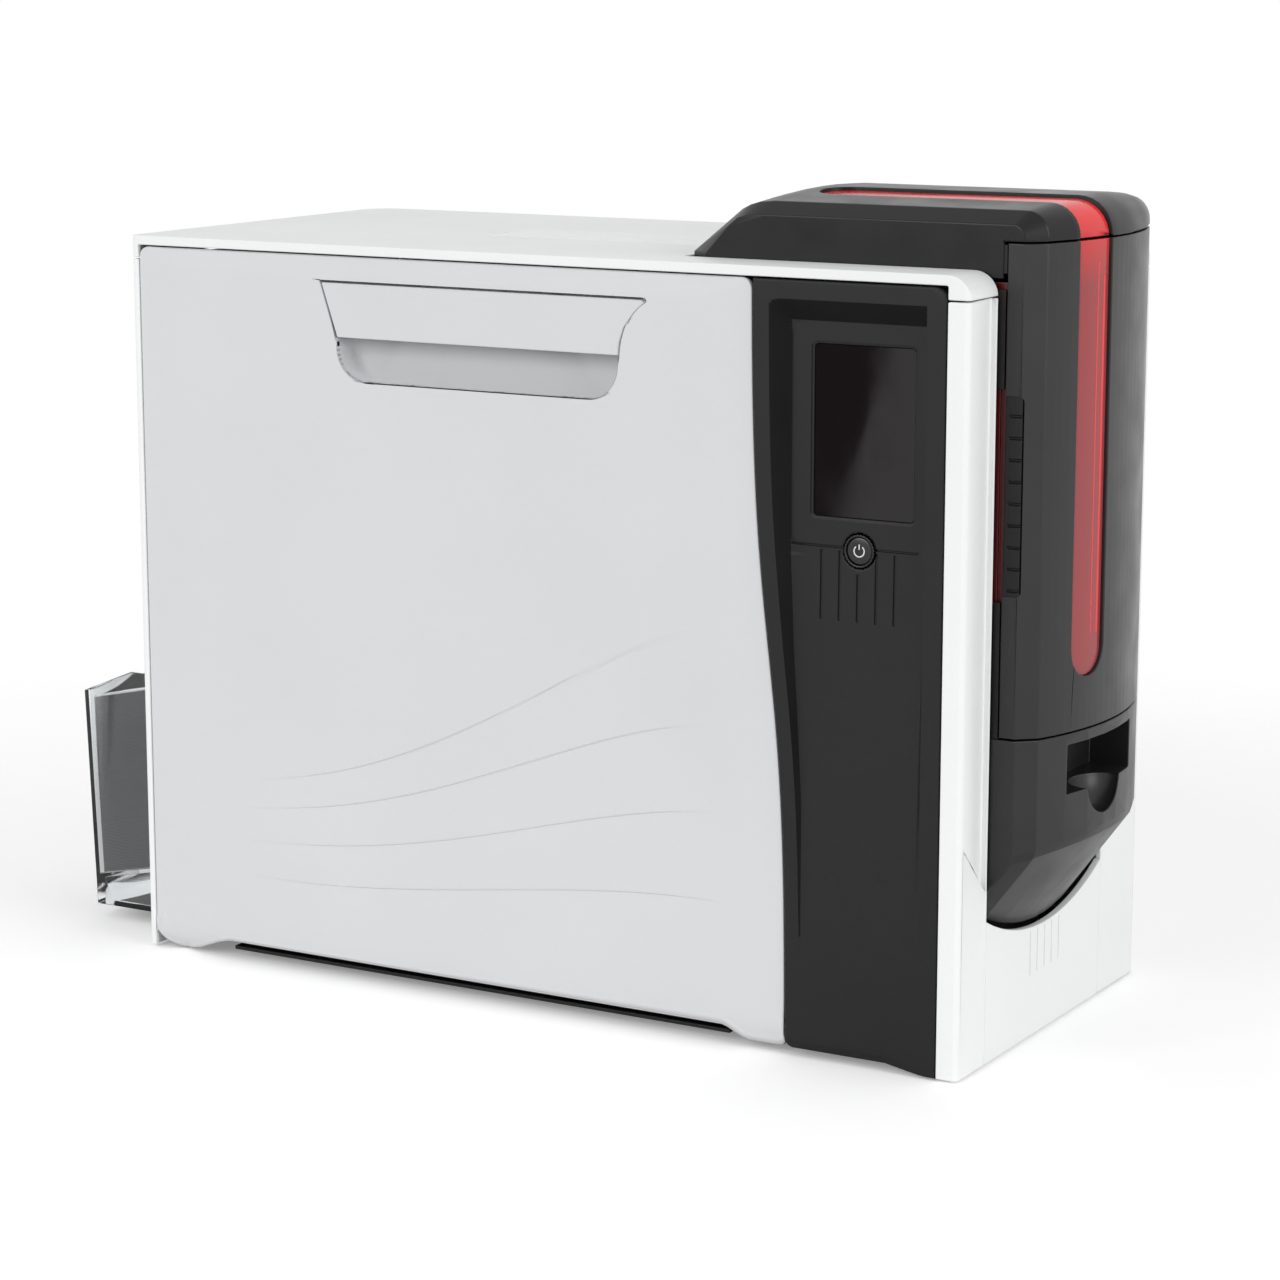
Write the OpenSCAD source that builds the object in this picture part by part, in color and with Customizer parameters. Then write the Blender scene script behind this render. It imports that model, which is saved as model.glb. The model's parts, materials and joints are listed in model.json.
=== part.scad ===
// ID card printer with a side door, a front card feeder and a rear output hopper.
// Millimetres. +X is the feeder end, -Y the door side, +Z up.
// The origin is under the middle of the overall box, on the surface the printer stands on.

/* [Casing] */
// Length of the casing from the rear plane to the front plane
casing_l = 438; // [434:1:446]
// Width of the casing
casing_w = 210; // [206:1:216]
// Height of the casing, without the feeder hood
casing_h = 350; // [346:1:356]
// Wall of the plastic covers
wall = 3; // [2.6:0.1:3.4]
// Gap at the seams between covers
seam = 0.8; // [0.5:0.1:1.1]
// Height of the top cover's skirt
cap_h = 10.5; // [9:0.5:12]
// Radius of the top cover's front edge
cap_front_r = 11; // [9:0.5:12]
// Radius of the far vertical corners
far_r = 16; // [12:1:20]
// Width of the rim behind the door
rim_rear = 4.1; // [3.6:0.1:5]
// Width of the rim in front of the control panel
rim_front = 10.4; // [9:0.1:12]
// Height of the rim above the door
rim_top = 4.5; // [4:0.1:6]
// Depth of the scoop in the near front pillar
scoop_d = 3; // [2:0.1:3.4]

/* [Base] */
// Height of the rubber feet
foot_h = 6; // [5:0.5:7]
// Radius of the rubber feet
foot_r = 10; // [8:0.5:11]
// Thickness of the base tray's floor
tray_t = 3; // [2.5:0.5:3.5]
// Height of the tray's walls above its floor
tray_wall_h = 16; // [12:1:20]

/* [Side door] */
// Height of the door's hinge axis
hinge_z = 15; // [14.5:0.1:15.5]
// Distance of the hinge axis behind the door's face
hinge_in = 7; // [6.8:0.1:7.6]
// Radius of the hinge pins
hinge_pin_r = 2; // [1.6:0.1:2.4]
// Door angle when it lies open
door_open = 90; // [80:1:90]
// Place of the door's front edge at mid height, behind the front plane
edge_mid = 94; // [90:0.5:98]
// Sideways swing of the door's front edge about that place
edge_swing = 9.5; // [7:0.5:11]
// Length of the finger pocket
pocket_l = 150; // [140:1:156]
// Height of the finger pocket below the handle
pocket_h = 20; // [16:1:22]
// Depth of the finger pocket
pocket_d = 15; // [12:1:18]
// Height of the handle flap
flap_h = 25; // [22:1:26]

/* [Control panel] */
// Depth of the panel's sloping recess
recess_d = 5; // [4:0.5:6]
// Width of the screen
screen_w = 47.5; // [44:0.5:49]
// Height of the screen
screen_h = 74; // [70:1:76]
// Radius of the power button
button_r = 6; // [5:0.5:6.5]
// Travel of the power button
button_travel = 1.2; // [0.8:0.1:1.4]

/* [Feeder] */
// How far the feeder's front stands out of the casing
feeder_out = 30; // [29:0.5:32]
// Half width of the feeder
feeder_hw = 63; // [61:0.5:64]
// Distance of the feeder's middle from the casing's middle, towards the door
feeder_off = 13; // [11:0.5:14]
// Height of the hood's crown above the casing
hood_h = 29.5; // [28:0.5:31]
// Height of the seam between hood and front cover
hood_seam_z = 362.5; // [361:0.5:364]
// Height of the seam between front cover and chin
chin_seam_z = 148; // [146:0.5:150]
// Wall of the feeder's covers
feeder_wall = 2.2; // [2:0.1:2.5]
// Width of the red window
window_w = 25; // [22:0.5:27]
// Opening angle of the hood
hood_open = 75; // [60:1:80]
// Opening angle of the front cover
cover_open = 100; // [80:1:110]

/* [Cards and their path] */
// Length of a card
card_l = 85.6; // [85:0.1:86]
// Width of a card
card_w = 54; // [53:0.1:54.5]
// Height of the card path
path_z = 137; // [136:0.5:138]
// Distance of the card path's middle from the door plane
path_in = 61; // [60:0.5:62]
// Height of the stack in the magazine
feed_stack_h = 96; // [60:1:110]
// Height of the stack in the output hopper
out_stack_h = 91; // [60:1:92]

/* [Output hopper] */
// How far the hopper stands out of the casing
hopper_out = 62; // [58:1:66]
// Wall of the clear hopper
hopper_wall = 1.8; // [1.5:0.1:2.2]
// Height of the hopper's top edge
hopper_top = 117; // [112:1:120]
// Lean of the hopper's outer wall
hopper_lean = 2.4; // [1:0.1:3]
// Height of the sloping floor at its outer end
hopper_floor = 22; // [18:0.5:26]
// Slope of the hopper's floor
hopper_slope = 12; // [8:0.5:13]
// Travel of the hopper as it is pulled out
hopper_travel = 60; // [40:1:80]

/* [Print and transfer unit] */
// Thickness of the steel chassis plate
plate_t = 2.5; // [2:0.1:3]
// Radius of the platen roller
platen_r = 10; // [9:0.5:11]
// Radius of the heated transfer roller
transfer_r = 14; // [13:0.5:15]
// Radius of the roller that presses the card against it
pressure_r = 9; // [8:0.5:10]
// Radius of the path rollers
path_r = 7; // [6:0.5:7.5]
// Radius of the roller shafts
shaft_r = 3; // [2.5:0.1:3.4]
// Running clearance of a shaft in its bore
shaft_fit = 0.06; // [0.03:0.01:0.1]
// Radius of a full roll of film or ribbon
roll_r = 26; // [22:0.5:28]
// Radius of a spool core
core_r = 11; // [9:0.5:12]
// Width of the film and the ribbon
web_w = 60; // [57:0.5:62]
// Gear module
gear_m = 1.5; // [1.4:0.05:1.6]

/* [Hidden] */
$fn = 48;

// Overall frame
total_l = hopper_out + casing_l + feeder_out;
x_f = total_l / 2 - feeder_out;
x_r = x_f - casing_l;
y_n = -casing_w / 2;
y_b = casing_w / 2;
z_t = casing_h;
eps = 0.01;
big = 600;

// Covers
near_r = 3;
floor_gap = 1;
skirt_z = 6;
seam_z = z_t - cap_h;
x_door_rear = x_r + rim_rear + seam / 2;
x_panel_front = x_f - rim_front - seam / 2;
z_door_top = z_t - rim_top - seam;
corner_w = 14;
front_corner_w = 22;

// Feeder opening and insert
f_y = -feeder_off;
open_hw = feeder_hw + 0.8;
arc_r = 144;
arc_low = 51.5;
insert_rib_n = 5;
insert_rib_step = 7.9;
insert_rib_w = 1.2;
scoop_low_near = 106;
scoop_low_far = 79;
pillar_lip = 1.2;

// Feeder shape
facet_x = 11.1;
facet_rise = 7.9;
facet_y = 7;
cover_gap = 3.6;
cover_clear = 0.8;
front_sag = feeder_out - facet_x - facet_rise;
crown_sag = 4.3;
front_edge_r = 17;
hood_foot = 151.5;
hood_slope = 0.8;
belly_z = 99.5;
belly_k = 0.76;
hood_skirt = 4;
window_off = 24;
window_low = 172;
window_deep = 1.6;
window_t = 2.5;
window_rear = 104;
cutout_z0 = 211;
cutout_z1 = 297;
cutout_x = 12;

// Card path
path_y = y_n + path_in;
card_t = 0.76;
path_gap = 0.3;
path_lo = path_z - card_t / 2 - path_gap;
path_hi = path_z + card_t / 2 + path_gap;
roller_hw = 28;

// Feeder magazine
mag_clear = 0.5;
mag_wall = 1.8;
mag_x1 = x_f + 6;
mag_x0 = mag_x1 - card_l - 2 * (mag_clear + mag_wall);
mag_hw = card_w / 2 + mag_clear + mag_wall;
mag_z0 = path_z + 14;
mag_z1 = z_t - 5;
grip_in = 1;
grip_out = 0.25;
grip_step = 8.6;
dial_z = 253;
dial_r = 20;
dial_pin_r = 2.5;

// Plates that carry the rollers
near_plate_y = path_y - 38;
near_plate_t = 2;
chassis_y = path_y + 54;
flange_w = 18;
supply_gap = 5;
gear_y = chassis_y + plate_t + 1.5;
gear_w = 6;
bracket_y = gear_y + gear_w + 3;
plate_x0 = x_r + 40;
plate_x1 = mag_x0 - 3.5;
plate_low_x1 = x_f - 14;
near_plate_x0 = plate_x0 + 6;
near_plate_x1 = mag_x0 - 3;

// Roller and spool places
x_pinch_front = x_f - 115;
x_platen = x_f - 225;
z_platen = path_z + 92;
head_x = x_platen + 34;
head_z = z_platen + 52;
x_transfer = x_f - 280;
z_transfer = path_z + card_t / 2 + path_gap + transfer_r + 0.8;
z_pressure = path_z - card_t / 2 - path_gap - pressure_r;
x_pinch_rear = x_f - 345;
x_pick = mag_x0 + 62;
z_pick = path_hi + path_r;
x_ribbon = x_f - 145;
z_ribbon_up = path_z + 150;
z_ribbon_low = path_z + 78;
x_film = x_f - 365;
z_film_up = path_z + 143;
z_film_low = path_z + 72;
pinion_teeth = 16;
gear_teeth = 36;
gear_back = 0.55;

// Latch and handle
x_flap0 = x_r + 118;
flap_top_z = z_t - 17.5;
flap_t = 3;
flap_gap = 0.8;
flap_arm = 8;
flap_low_z = flap_top_z - flap_h;
flap_pin_z = flap_top_z - 3.5;
flap_pin_in = 2.6;
flap_pin_r = 1;
pocket_r = 15;
latch_z = flap_top_z + 2;
hook_n = 2;

// Hinge stations along the door
hinge_xs = [x_r + 128, x_r + 276];
knuckle_r = 4.2;
knuckle_l = 16;
lug_t = 5;
hinge_side_gap = 0.5;
hinge_fit = 0.05;
hinge_y = y_n + hinge_in;
roll_z = 9.5;
lobe_low = 0.9;
lobe_rear_l = 42;
lobe_front_l = 28;
door_skin = 3;

// Panel
panel_in = 1;
recess_top = z_t - 13.5;
recess_low = 60;
recess_side = 19.8;
recess_wall = 8.5;
recess_off = 8.5;
screen_x1 = x_f - 27.3;
screen_x0 = screen_x1 - screen_w;
screen_z1 = z_t - 32.5;
screen_z0 = screen_z1 - screen_h;
glass_t = 1.6;
glass_in = 0.8;
button_x = x_f - 52.6;
button_z = 229.3;
ring_w = 1.4;
button_gap = 0.3;
panel_groove_n = 5;
panel_groove_step = 8.78;
panel_groove_w = 1;
pan_t = 2.5;

// Rear
fan_size = 60;
fan_t = 15;
fan_x = x_r + wall;
fan_y = y_b - 52;
fan_z = 215;
fan_rotor_r = 26;
grille_n = 7;
grille_step = 8;
grille_slot = 4;
io_y0 = y_b - 86;
io_y1 = y_b - 22;
io_z0 = 60;
io_z1 = 120;
inlet_w = 28;
inlet_h = 20;

// Output hopper
hopper_hw = card_w / 2 + hopper_wall + 0.4;
hopper_low = 6.6;
hopper_end_l = 10;
hopper_lift = 0.3;
hopper_rise_x = 32.5;
hopper_rise_z = 129;
hopper_gap = 1.2;
stack_gap = 0.35;
hopper_in = card_l * cos(hopper_slope) + tan(hopper_lean) * (hopper_top - hopper_floor)
    + 2 * hopper_wall + 1.3 - hopper_out;
tongue_l = hopper_out - hopper_end_l - 5;

// ---------------------------------------------------------------- helpers

// Box between two corners.
module span(a, b) {
    translate(a) cube(b - a);
}

// Cylinder along Y.
module y_rod(x, z, r, y0, y1) {
    translate([x, y1, z]) rotate([90, 0, 0]) cylinder(r = r, h = y1 - y0);
}

// Cylinder along X.
module x_rod(y, z, r, x0, x1) {
    translate([x0, y, z]) rotate([0, 90, 0]) cylinder(r = r, h = x1 - x0);
}

// Outline in X and Z, extruded along Y.
module along_y(y0, y1) {
    translate([0, y1, 0]) rotate([90, 0, 0]) linear_extrude(y1 - y0) children();
}

// Outline in Y and Z, extruded along X.
module along_x(x0, x1) {
    translate([x0, 0, 0]) rotate([90, 0, 90]) linear_extrude(x1 - x0) children();
}

// Rectangle with round corners, from exact arcs.
module round_rect(x0, y0, x1, y1, r) {
    translate([x0 + r, y0]) square([x1 - x0 - 2 * r, y1 - y0]);
    translate([x0, y0 + r]) square([x1 - x0, y1 - y0 - 2 * r]);
    for (x = [x0 + r, x1 - r], y = [y0 + r, y1 - r]) translate([x, y]) circle(r);
}

// Straight strip between two points.
module strip(a, b, t) {
    d = b - a;
    translate(a) rotate(atan2(d[1], d[0])) translate([0, -t / 2]) square([norm(d), t]);
}

// Hyperbolic tangent, for the swept edge between door and panel.
function tanh(u) = (exp(2 * u) - 1) / (exp(2 * u) + 1);

// X of the swept edge at height z.
function edge_x(z) = x_f - edge_mid + edge_swing * tanh((183 - z) / 78);

// Height of the insert's arc at y.
function arc_z(y) = arc_low + arc_r - sqrt(arc_r * arc_r - pow(y - f_y, 2));

// X of the feeder's front at a distance from its middle, behind it by t.
front_R = (pow(feeder_hw - facet_y, 2) + front_sag * front_sag) / (2 * front_sag);
function front_x(d, t = 0) = x_f + feeder_out - front_R + sqrt(pow(front_R - t, 2) - d * d);

// ---------------------------------------------------------------- casing

// Plan of the casing, drawn in by t.
module casing_plan(t) {
    intersection() {
        round_rect(x_r + t, y_n + t, x_f - t, y_b - t, max(near_r - t, 0.6));
        round_rect(x_r + t, y_n - far_r * 2, x_f - t, y_b - t, far_r - t);
    }
}

// Upright wall of the casing between two heights.
module casing_wall(z0, z1) {
    translate([0, 0, z0]) linear_extrude(z1 - z0) difference() {
        casing_plan(0);
        casing_plan(wall);
    }
}

// Opening for the door and the control panel.
module near_opening() {
    span([x_r + rim_rear, y_n - 1, -1], [x_f - rim_front, y_n + wall + eps, z_t - rim_top]);
}

module rear_cover() {
    color("white") difference() {
        union() {
            intersection() {
                casing_wall(floor_gap, seam_z - seam);
                span([x_r - 1, y_n - 1, 0], [x_r + corner_w, y_b + 1, z_t]);
            }
            // ledge that the far side cover is screwed to
            span([x_r + corner_w - 4, y_b - wall - 2.4, 30],
                [x_r + corner_w + 8, y_b - wall - 0.3, 320]);
            span([x_r + corner_w - 4, y_b - wall - 2.4, 30],
                [x_r + corner_w, y_b - wall + 1, 320]);
        }
        near_opening();
        // mouth for the hopper
        span([x_r - 1, path_y - hopper_hw - hopper_gap, floor_gap - 1],
            [x_r + wall + 1, path_y + hopper_hw + hopper_gap, path_z + 14]);
        // air slots
        for (i = [0 : grille_n - 1])
            translate([x_r - 1, fan_y, fan_z + (i - (grille_n - 1) / 2) * grille_step])
                rotate([0, 90, 0]) linear_extrude(wall + 2)
                    round_rect(-grille_slot / 2, -24, grille_slot / 2, 24, grille_slot / 2 - 0.1);
        // sockets and power inlet
        span([x_r - 1, io_y0, io_z0], [x_r + wall + 1, io_y1, io_z1]);
    }
}

module far_side_cover() {
    x1 = x_f - front_corner_w - seam;
    color("white") difference() {
        union() {
            intersection() {
                casing_wall(floor_gap, seam_z - seam);
                span([x_r + corner_w + seam, y_b - wall - 1, 0], [x1, y_b + 1, z_t]);
            }
            // stiffening ribs inside
            for (x = [x_r + 110, x_r + 220, x_r + 320])
                span([x, y_b - wall - 4, 30], [x + 2.5, y_b - wall + eps, seam_z - 12]);
        }
        // raised bottom edge between two lobes
        along_y(y_b - wall - 1, y_b + 1) polygon([[x_r + 50, -1], [x_r + 66, skirt_z],
            [x1 - 40, skirt_z], [x1 - 24, -1]]);
    }
}

// Front frame: near pillar with its scoop, far pillar and the bar that joins them.
module front_cover() {
    back_x = x_f - wall - 2.5;
    color("white") difference() {
        union() {
            intersection() {
                casing_wall(floor_gap, seam_z - seam);
                span([x_f - front_corner_w, y_n - 1, 0], [x_f + 1, y_b + 1, z_t]);
            }
            // thicker front of the near pillar
            span([back_x, y_n + wall - eps, floor_gap],
                [x_f - wall + eps, f_y - open_hw, seam_z - seam]);
            // bar behind the insert
            span([x_f - wall - 5, f_y - open_hw - 4, 10], [x_f - wall - 0.2, f_y + open_hw + 6, 26]);
            span([x_f - wall - 5, f_y + open_hw, 10], [x_f - wall + eps, f_y + open_hw + 6, 26]);
        }
        near_opening();
        span([x_f - wall - 0.1, f_y - open_hw, -1], [x_f + 1, f_y + open_hw, z_t]);
        pillar_scoop();
    }
}

// Sloping scoop in the front of the near pillar, run out at the foot.
module pillar_scoop() {
    y0 = y_n + 1.5;
    y1 = f_y - open_hw - pillar_lip;
    intersection() {
        translate([0, 0, 40]) linear_extrude(z_t) polygon([[x_f + 1, y0 - 0.2], [x_f, y0],
            [x_f - scoop_d * 0.45, (y0 + y1) / 2 + 3], [x_f - scoop_d, y1], [x_f + 1, y1]]);
        along_x(x_f - scoop_d - 1, x_f + 2) polygon([[y0 - 1, scoop_low_near],
            [y1 + 1, scoop_low_far], [y1 + 1, z_t], [y0 - 1, z_t]]);
    }
}

module front_insert() {
    y0 = f_y - open_hw + seam / 2;
    y1 = f_y + open_hw - seam / 2;
    color("white") difference() {
        span([x_f - wall, y0, floor_gap], [x_f, y1, arc_z(y1) + 1]);
        x_rod(f_y, arc_low + arc_r, arc_r, x_f - wall - 1, x_f + 1);
        for (i = [0 : insert_rib_n - 1])
            translate([0, f_y + (i - (insert_rib_n - 1) / 2) * insert_rib_step, 0])
                span([x_f - 0.8, -insert_rib_w / 2, 30], [x_f + 1, insert_rib_w / 2, arc_low - 1]);
    }
}

// Side view of the top cover, drawn in by t.
module cap_profile(t) {
    r = cap_front_r - t;
    translate([x_r + t, seam_z - 20]) square([casing_l - 2 * t - r, 20 + cap_h - t]);
    translate([x_r + t, seam_z - 20]) square([casing_l - 2 * t, 20 + cap_h - t - r]);
    translate([x_f - t - r, z_t - t - r]) circle(r);
}

module top_cover() {
    color("white") difference() {
        intersection() {
            translate([0, 0, seam_z]) linear_extrude(cap_h) casing_plan(0);
            along_y(y_n - 1, y_b + 1) cap_profile(0);
        }
        intersection() {
            translate([0, 0, seam_z - 1]) linear_extrude(cap_h) casing_plan(wall);
            along_y(y_n - 1, y_b + 1) cap_profile(wall);
        }
        near_opening();
        // opening for the feeder, through the top and the front
        span([x_f - hood_foot - 1.5, f_y - open_hw, seam_z - 1], [x_f + 1, f_y + open_hw, z_t + 1]);
        // vent slots
        for (i = [0 : 5]) translate([x_f - 291, -20 + i * 8, z_t - wall - 1])
            linear_extrude(wall + 2) round_rect(0, -1.5, 118, 1.5, 1.4);
    }
}

// ---------------------------------------------------------------- base

module base_tray() {
    z0 = foot_h;
    z1 = foot_h + tray_t;
    y0 = y_n + 24;
    y1 = y_b - wall - 0.6;
    x0 = x_r + wall + 0.6;
    x1 = x_f - wall - 6;
    stop_x = x_r + hopper_in + hopper_gap + 1;
    color("#202020") difference() {
        union() {
            intersection() {
                union() {
                    span([x0, y0, z0], [x1, y1, z1]);
                    span([x0, y1 - 2, z0], [x1, y1, z1 + tray_wall_h]);
                    span([x1 - 2, y0, z0], [x1, y1, z1 + 2]);
                    span([stop_x, y0, z0], [stop_x + 2, y1, z1 + tray_wall_h]);
                }
                translate([0, 0, z0 - 1]) linear_extrude(40) casing_plan(wall + 0.5);
            }
            // strip under the door between the lobes
            span([x_door_rear + lobe_rear_l + 2, y_n + 5, z0 - 1.8],
                [edge_x(0) - lobe_front_l - 2, y0 + 1.5, z0 + 0.1]);
            // strip under the control panel
            span([edge_x(0) + 6, y_n + wall + 4, z0], [x1, y0 + eps, z1]);
            // tongue under the hopper
            span([x_r - tongue_l, path_y - hopper_hw, z0 + 0.6], [x0 + 5, path_y + hopper_hw, z1]);
            // hinge lugs
            for (x = hinge_xs, s = [-1, 1])
                translate([x + s * (knuckle_l / 2 + hinge_side_gap + lug_t / 2), 0, 0])
                    hinge_lug();
        }
        for (x = hinge_xs)
            x_rod(hinge_y, hinge_z, hinge_pin_r, x - knuckle_l, x + knuckle_l);
        // cooling slots
        for (i = [0 : 9]) translate([x_r + 190 + i * 12, y_b - 70, z0 - 1])
            linear_extrude(tray_t + 2) round_rect(0, 0, 5, 50, 2.4);
    }
}

// Lug that reaches in from the tray to the door's hinge pin.
module hinge_lug() {
    translate([-lug_t / 2, 0, 0]) {
        x_rod(hinge_y, hinge_z, 3.4, 0, lug_t);
        span([0, hinge_y, hinge_z - 1.4], [lug_t, hinge_y + 14, hinge_z + 3.4]);
        span([0, hinge_y + 10, foot_h], [lug_t, y_n + 26, hinge_z + 3.4]);
    }
}

module rubber_feet() {
    color("#151515")
        for (p = [[x_r + 66, y_n + 36], [x_r + 66, y_b - 26], [x_f - 40, y_n + 36], [x_f - 40, y_b - 26]])
            translate([p[0], p[1], 0]) {
                cylinder(r1 = foot_r - 1, r2 = foot_r, h = 1);
                translate([0, 0, 1]) cylinder(r = foot_r, h = foot_h - 1);
            }
}

// ---------------------------------------------------------------- side door

// Outline of the door in X and Z, with its rear and front lobes.
module door_outline(gap) {
    zs = [z_door_top, 325, 300, 275, 250, 225, 200, 175, 150, 125, 100, 75, 50, 25, 5];
    x0 = x_door_rear + gap;
    xe = edge_x(5) - gap - seam / 2;
    intersection() {
        polygon(concat(
            [for (z = zs) [edge_x(z) - gap - seam / 2, z]],
            [[xe - 3, 4], [xe - 6, 3.4], [xe - lobe_front_l + 4, 3.4], [xe - lobe_front_l, roll_z],
             [x0 + lobe_rear_l, roll_z], [x0 + 26, 4], [x0 + 14, lobe_low],
             [x0 + 8, lobe_low + 0.6], [x0 + 3, lobe_low + 4], [x0, lobe_low + 12],
             [x0, z_door_top]]));
        round_rect(x0, -20, x_f, z_door_top, 5);
    }
}

// Skin of the door: a plate whose foot rolls under, round the hinge.
module door_skin_solid() {
    low = hinge_z - lobe_low;
    in = hinge_in - door_skin;
    as = [180 : 7.5 : 270];
    intersection() {
        along_y(y_n - 1, y_n + 20) door_outline(0);
        along_x(x_r, x_f) polygon(concat(
            [[y_n + door_skin, z_t], [y_n, z_t]],
            [for (a = as) [hinge_y + hinge_in * cos(a), hinge_z + low * sin(a)]],
            [for (a = as) [hinge_y + in * cos(450 - a), hinge_z + (low - 2.5) * sin(450 - a)]]));
    }
}

module pocket_outline(g) {
    x1 = x_flap0 + pocket_l - g;
    x0 = x_flap0 + g;
    round_rect(x0, flap_low_z - pocket_h + g, x1, flap_top_z - 4, pocket_r - g);
    translate([x0, flap_low_z]) square([x1 - x0, flap_h - g]);
}

// Outline of the flap: wider at the top, with a swept front end.
module flap_outline(g) {
    x1 = x_flap0 + pocket_l;
    polygon([[x_flap0 - 8.5 - g, flap_top_z + g], [x1 + 12 + g, flap_top_z + g],
        [x1 + 13.5 + g, flap_top_z - 1.2], [x1 + 8 + g, flap_top_z - 6],
        [x1 + 3 + g, flap_top_z - 12.5], [x1 + 0.7 + g, flap_top_z - 19],
        [x1 + g, flap_low_z - g], [x_flap0 - g, flap_low_z - g]]);
}

module side_door() {
    cup_y = y_n + pocket_d;
    color("#dedfe1") difference() {
        union() {
            difference() {
                door_skin_solid();
                along_y(y_n - 1, y_n + 10) pocket_outline(0);
                along_y(y_n - 1, y_n + 10) flap_outline(flap_gap);
            }
            // cup behind the flap
            difference() {
                along_y(y_n + door_skin - eps, cup_y) {
                    pocket_outline(-2);
                    flap_outline(2.5);
                }
                along_y(y_n, cup_y - 2) {
                    pocket_outline(0);
                    flap_outline(flap_gap);
                }
            }
            // stiffening frame inside
            for (z = [38, 130, 220]) span([x_door_rear + 8, y_n + door_skin - eps, z],
                [edge_x(z) - 12, y_n + door_skin + 5, z + 2.5]);
            for (x = [x_door_rear + 8, x_door_rear + 110, x_door_rear + 215])
                span([x, y_n + door_skin - eps, 38], [x + 2.5, y_n + door_skin + 5, 222.5]);
            // hinge knuckles
            for (x = hinge_xs) {
                x_rod(hinge_y, hinge_z, knuckle_r, x - knuckle_l / 2, x + knuckle_l / 2);
                span([x - knuckle_l / 2, y_n + 0.5, hinge_z - 2],
                    [x + knuckle_l / 2, hinge_y, hinge_z + knuckle_r]);
            }
        }
        for (x = hinge_xs) {
            x_rod(hinge_y, hinge_z, hinge_pin_r + hinge_fit, x - knuckle_l, x + knuckle_l);
            // room for the lugs
            for (s = [-1, 1]) translate([x + s * (knuckle_l / 2 + hinge_side_gap + lug_t / 2), 0, 0])
                span([-lug_t / 2 - 0.4, hinge_y - 4, roll_z - 2],
                    [lug_t / 2 + 0.4, hinge_y + 6, hinge_z + 5]);
        }
        // seats of the flap's pin
        x_rod(y_n + flap_pin_in, flap_pin_z, flap_pin_r, x_flap0 - 11.5, x_flap0 + pocket_l + 15);
        // way for the latch bar's stem
        latch_slot();
    }
}

// Slots in the cup's back that let the latch bar's fingers reach the flap.
module latch_slot() {
    for (s = [0.25, 0.75])
        span([x_flap0 + pocket_l * s - 5, cup_back() - 3, flap_pin_z - 9],
            [x_flap0 + pocket_l * s + 5, cup_back() + 1, flap_pin_z - 0.6]);
}

function cup_back() = y_n + pocket_d;

module door_hinge_pins() {
    color("#b9bcc0") for (x = hinge_xs)
        x_rod(hinge_y, hinge_z, hinge_pin_r, x - knuckle_l / 2 - hinge_side_gap - lug_t + 0.5,
            x + knuckle_l / 2 + hinge_side_gap + lug_t - 0.5);
}

module handle_flap() {
    color("#e4e5e7") difference() {
        union() {
            along_y(y_n + 0.4, y_n + 0.4 + flap_t) flap_outline(0);
            x_rod(y_n + flap_pin_in, flap_pin_z, 2.2, x_flap0 - 6, x_flap0 + pocket_l + 6);
            // arms that press the latch bar down
            for (k = [0.25, 0.75]) span([x_flap0 + pocket_l * k - 3, y_n + flap_pin_in, flap_pin_z - 1],
                [x_flap0 + pocket_l * k + 3, y_n + flap_pin_in + flap_arm, flap_pin_z + 1]);
            // lip that the fingers pull
            span([x_flap0 + 6, y_n + flap_t, flap_low_z],
                [x_flap0 + pocket_l - 6, y_n + flap_t + 3, flap_low_z + 2]);
        }
        x_rod(y_n + flap_pin_in, flap_pin_z, flap_pin_r + hinge_fit,
            x_flap0 - 20, x_flap0 + pocket_l + 20);
    }
}

module handle_pin() {
    color("#b9bcc0") x_rod(y_n + flap_pin_in, flap_pin_z, flap_pin_r,
        x_flap0 - 11, x_flap0 + pocket_l + 14.5);
}

// Bar behind the door that hooks over the top cover's inner lip.
module latch_bar() {
    y0 = cup_back() + 0.4;
    color("#c9cacc") {
        span([x_flap0 - 30, y0, latch_z - 6], [x_flap0 + pocket_l + 30, y0 + 2.5, latch_z + 2]);
        // fingers under the flap's arms
        for (k = [0.25, 0.75]) translate([x_flap0 + pocket_l * k, 0, flap_pin_z]) {
            span([-3, y_n + flap_pin_in + flap_arm - 3, -3.4], [3, y0 + 2.5, -1.4]);
            span([-3, y0, -3.4], [3, y0 + 2.5, 0]);
        }
        for (x = [x_flap0 - 30, x_flap0 + pocket_l + 22]) {
            span([x, y0, latch_z + 2 - eps], [x + 8, y0 + 2.5, z_t - wall - 5.5]);
            span([x, y0 - 3, z_t - wall - 8], [x + 8, y0 + eps, z_t - wall - 5.5]);
        }
    }
}

// ---------------------------------------------------------------- control panel

// Outline of the panel in X and Z.
module panel_outline() {
    zs = [345, 325, 300, 275, 250, 225, 200, 175, 150, 125, 100, 75, 50, 25, 6];
    intersection() {
        polygon(concat([for (z = zs) [edge_x(z) + seam / 2, z]],
            [[edge_x(0) + 3, 4.2], [x_panel_front - 24, 4.2], [x_panel_front - 12, 2],
             [x_panel_front - 5, 1], [x_panel_front, 1], [x_panel_front, 345]]));
        round_rect(x_r, -20, x_panel_front, z_door_top, 5.5);
    }
}

// Outline of the sloping recess, its walls drawn in by t.
module recess_outline(t) {
    zs = [recess_top - t, 300, 275, 250, 225, 200, 175, 150, 125, 100, 80, recess_low];
    polygon(concat([for (z = zs) [edge_x(z) + recess_off + t, z]],
        [[x_f - recess_side - t, recess_low], [x_f - recess_side - t, recess_top - t]]));
}

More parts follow.
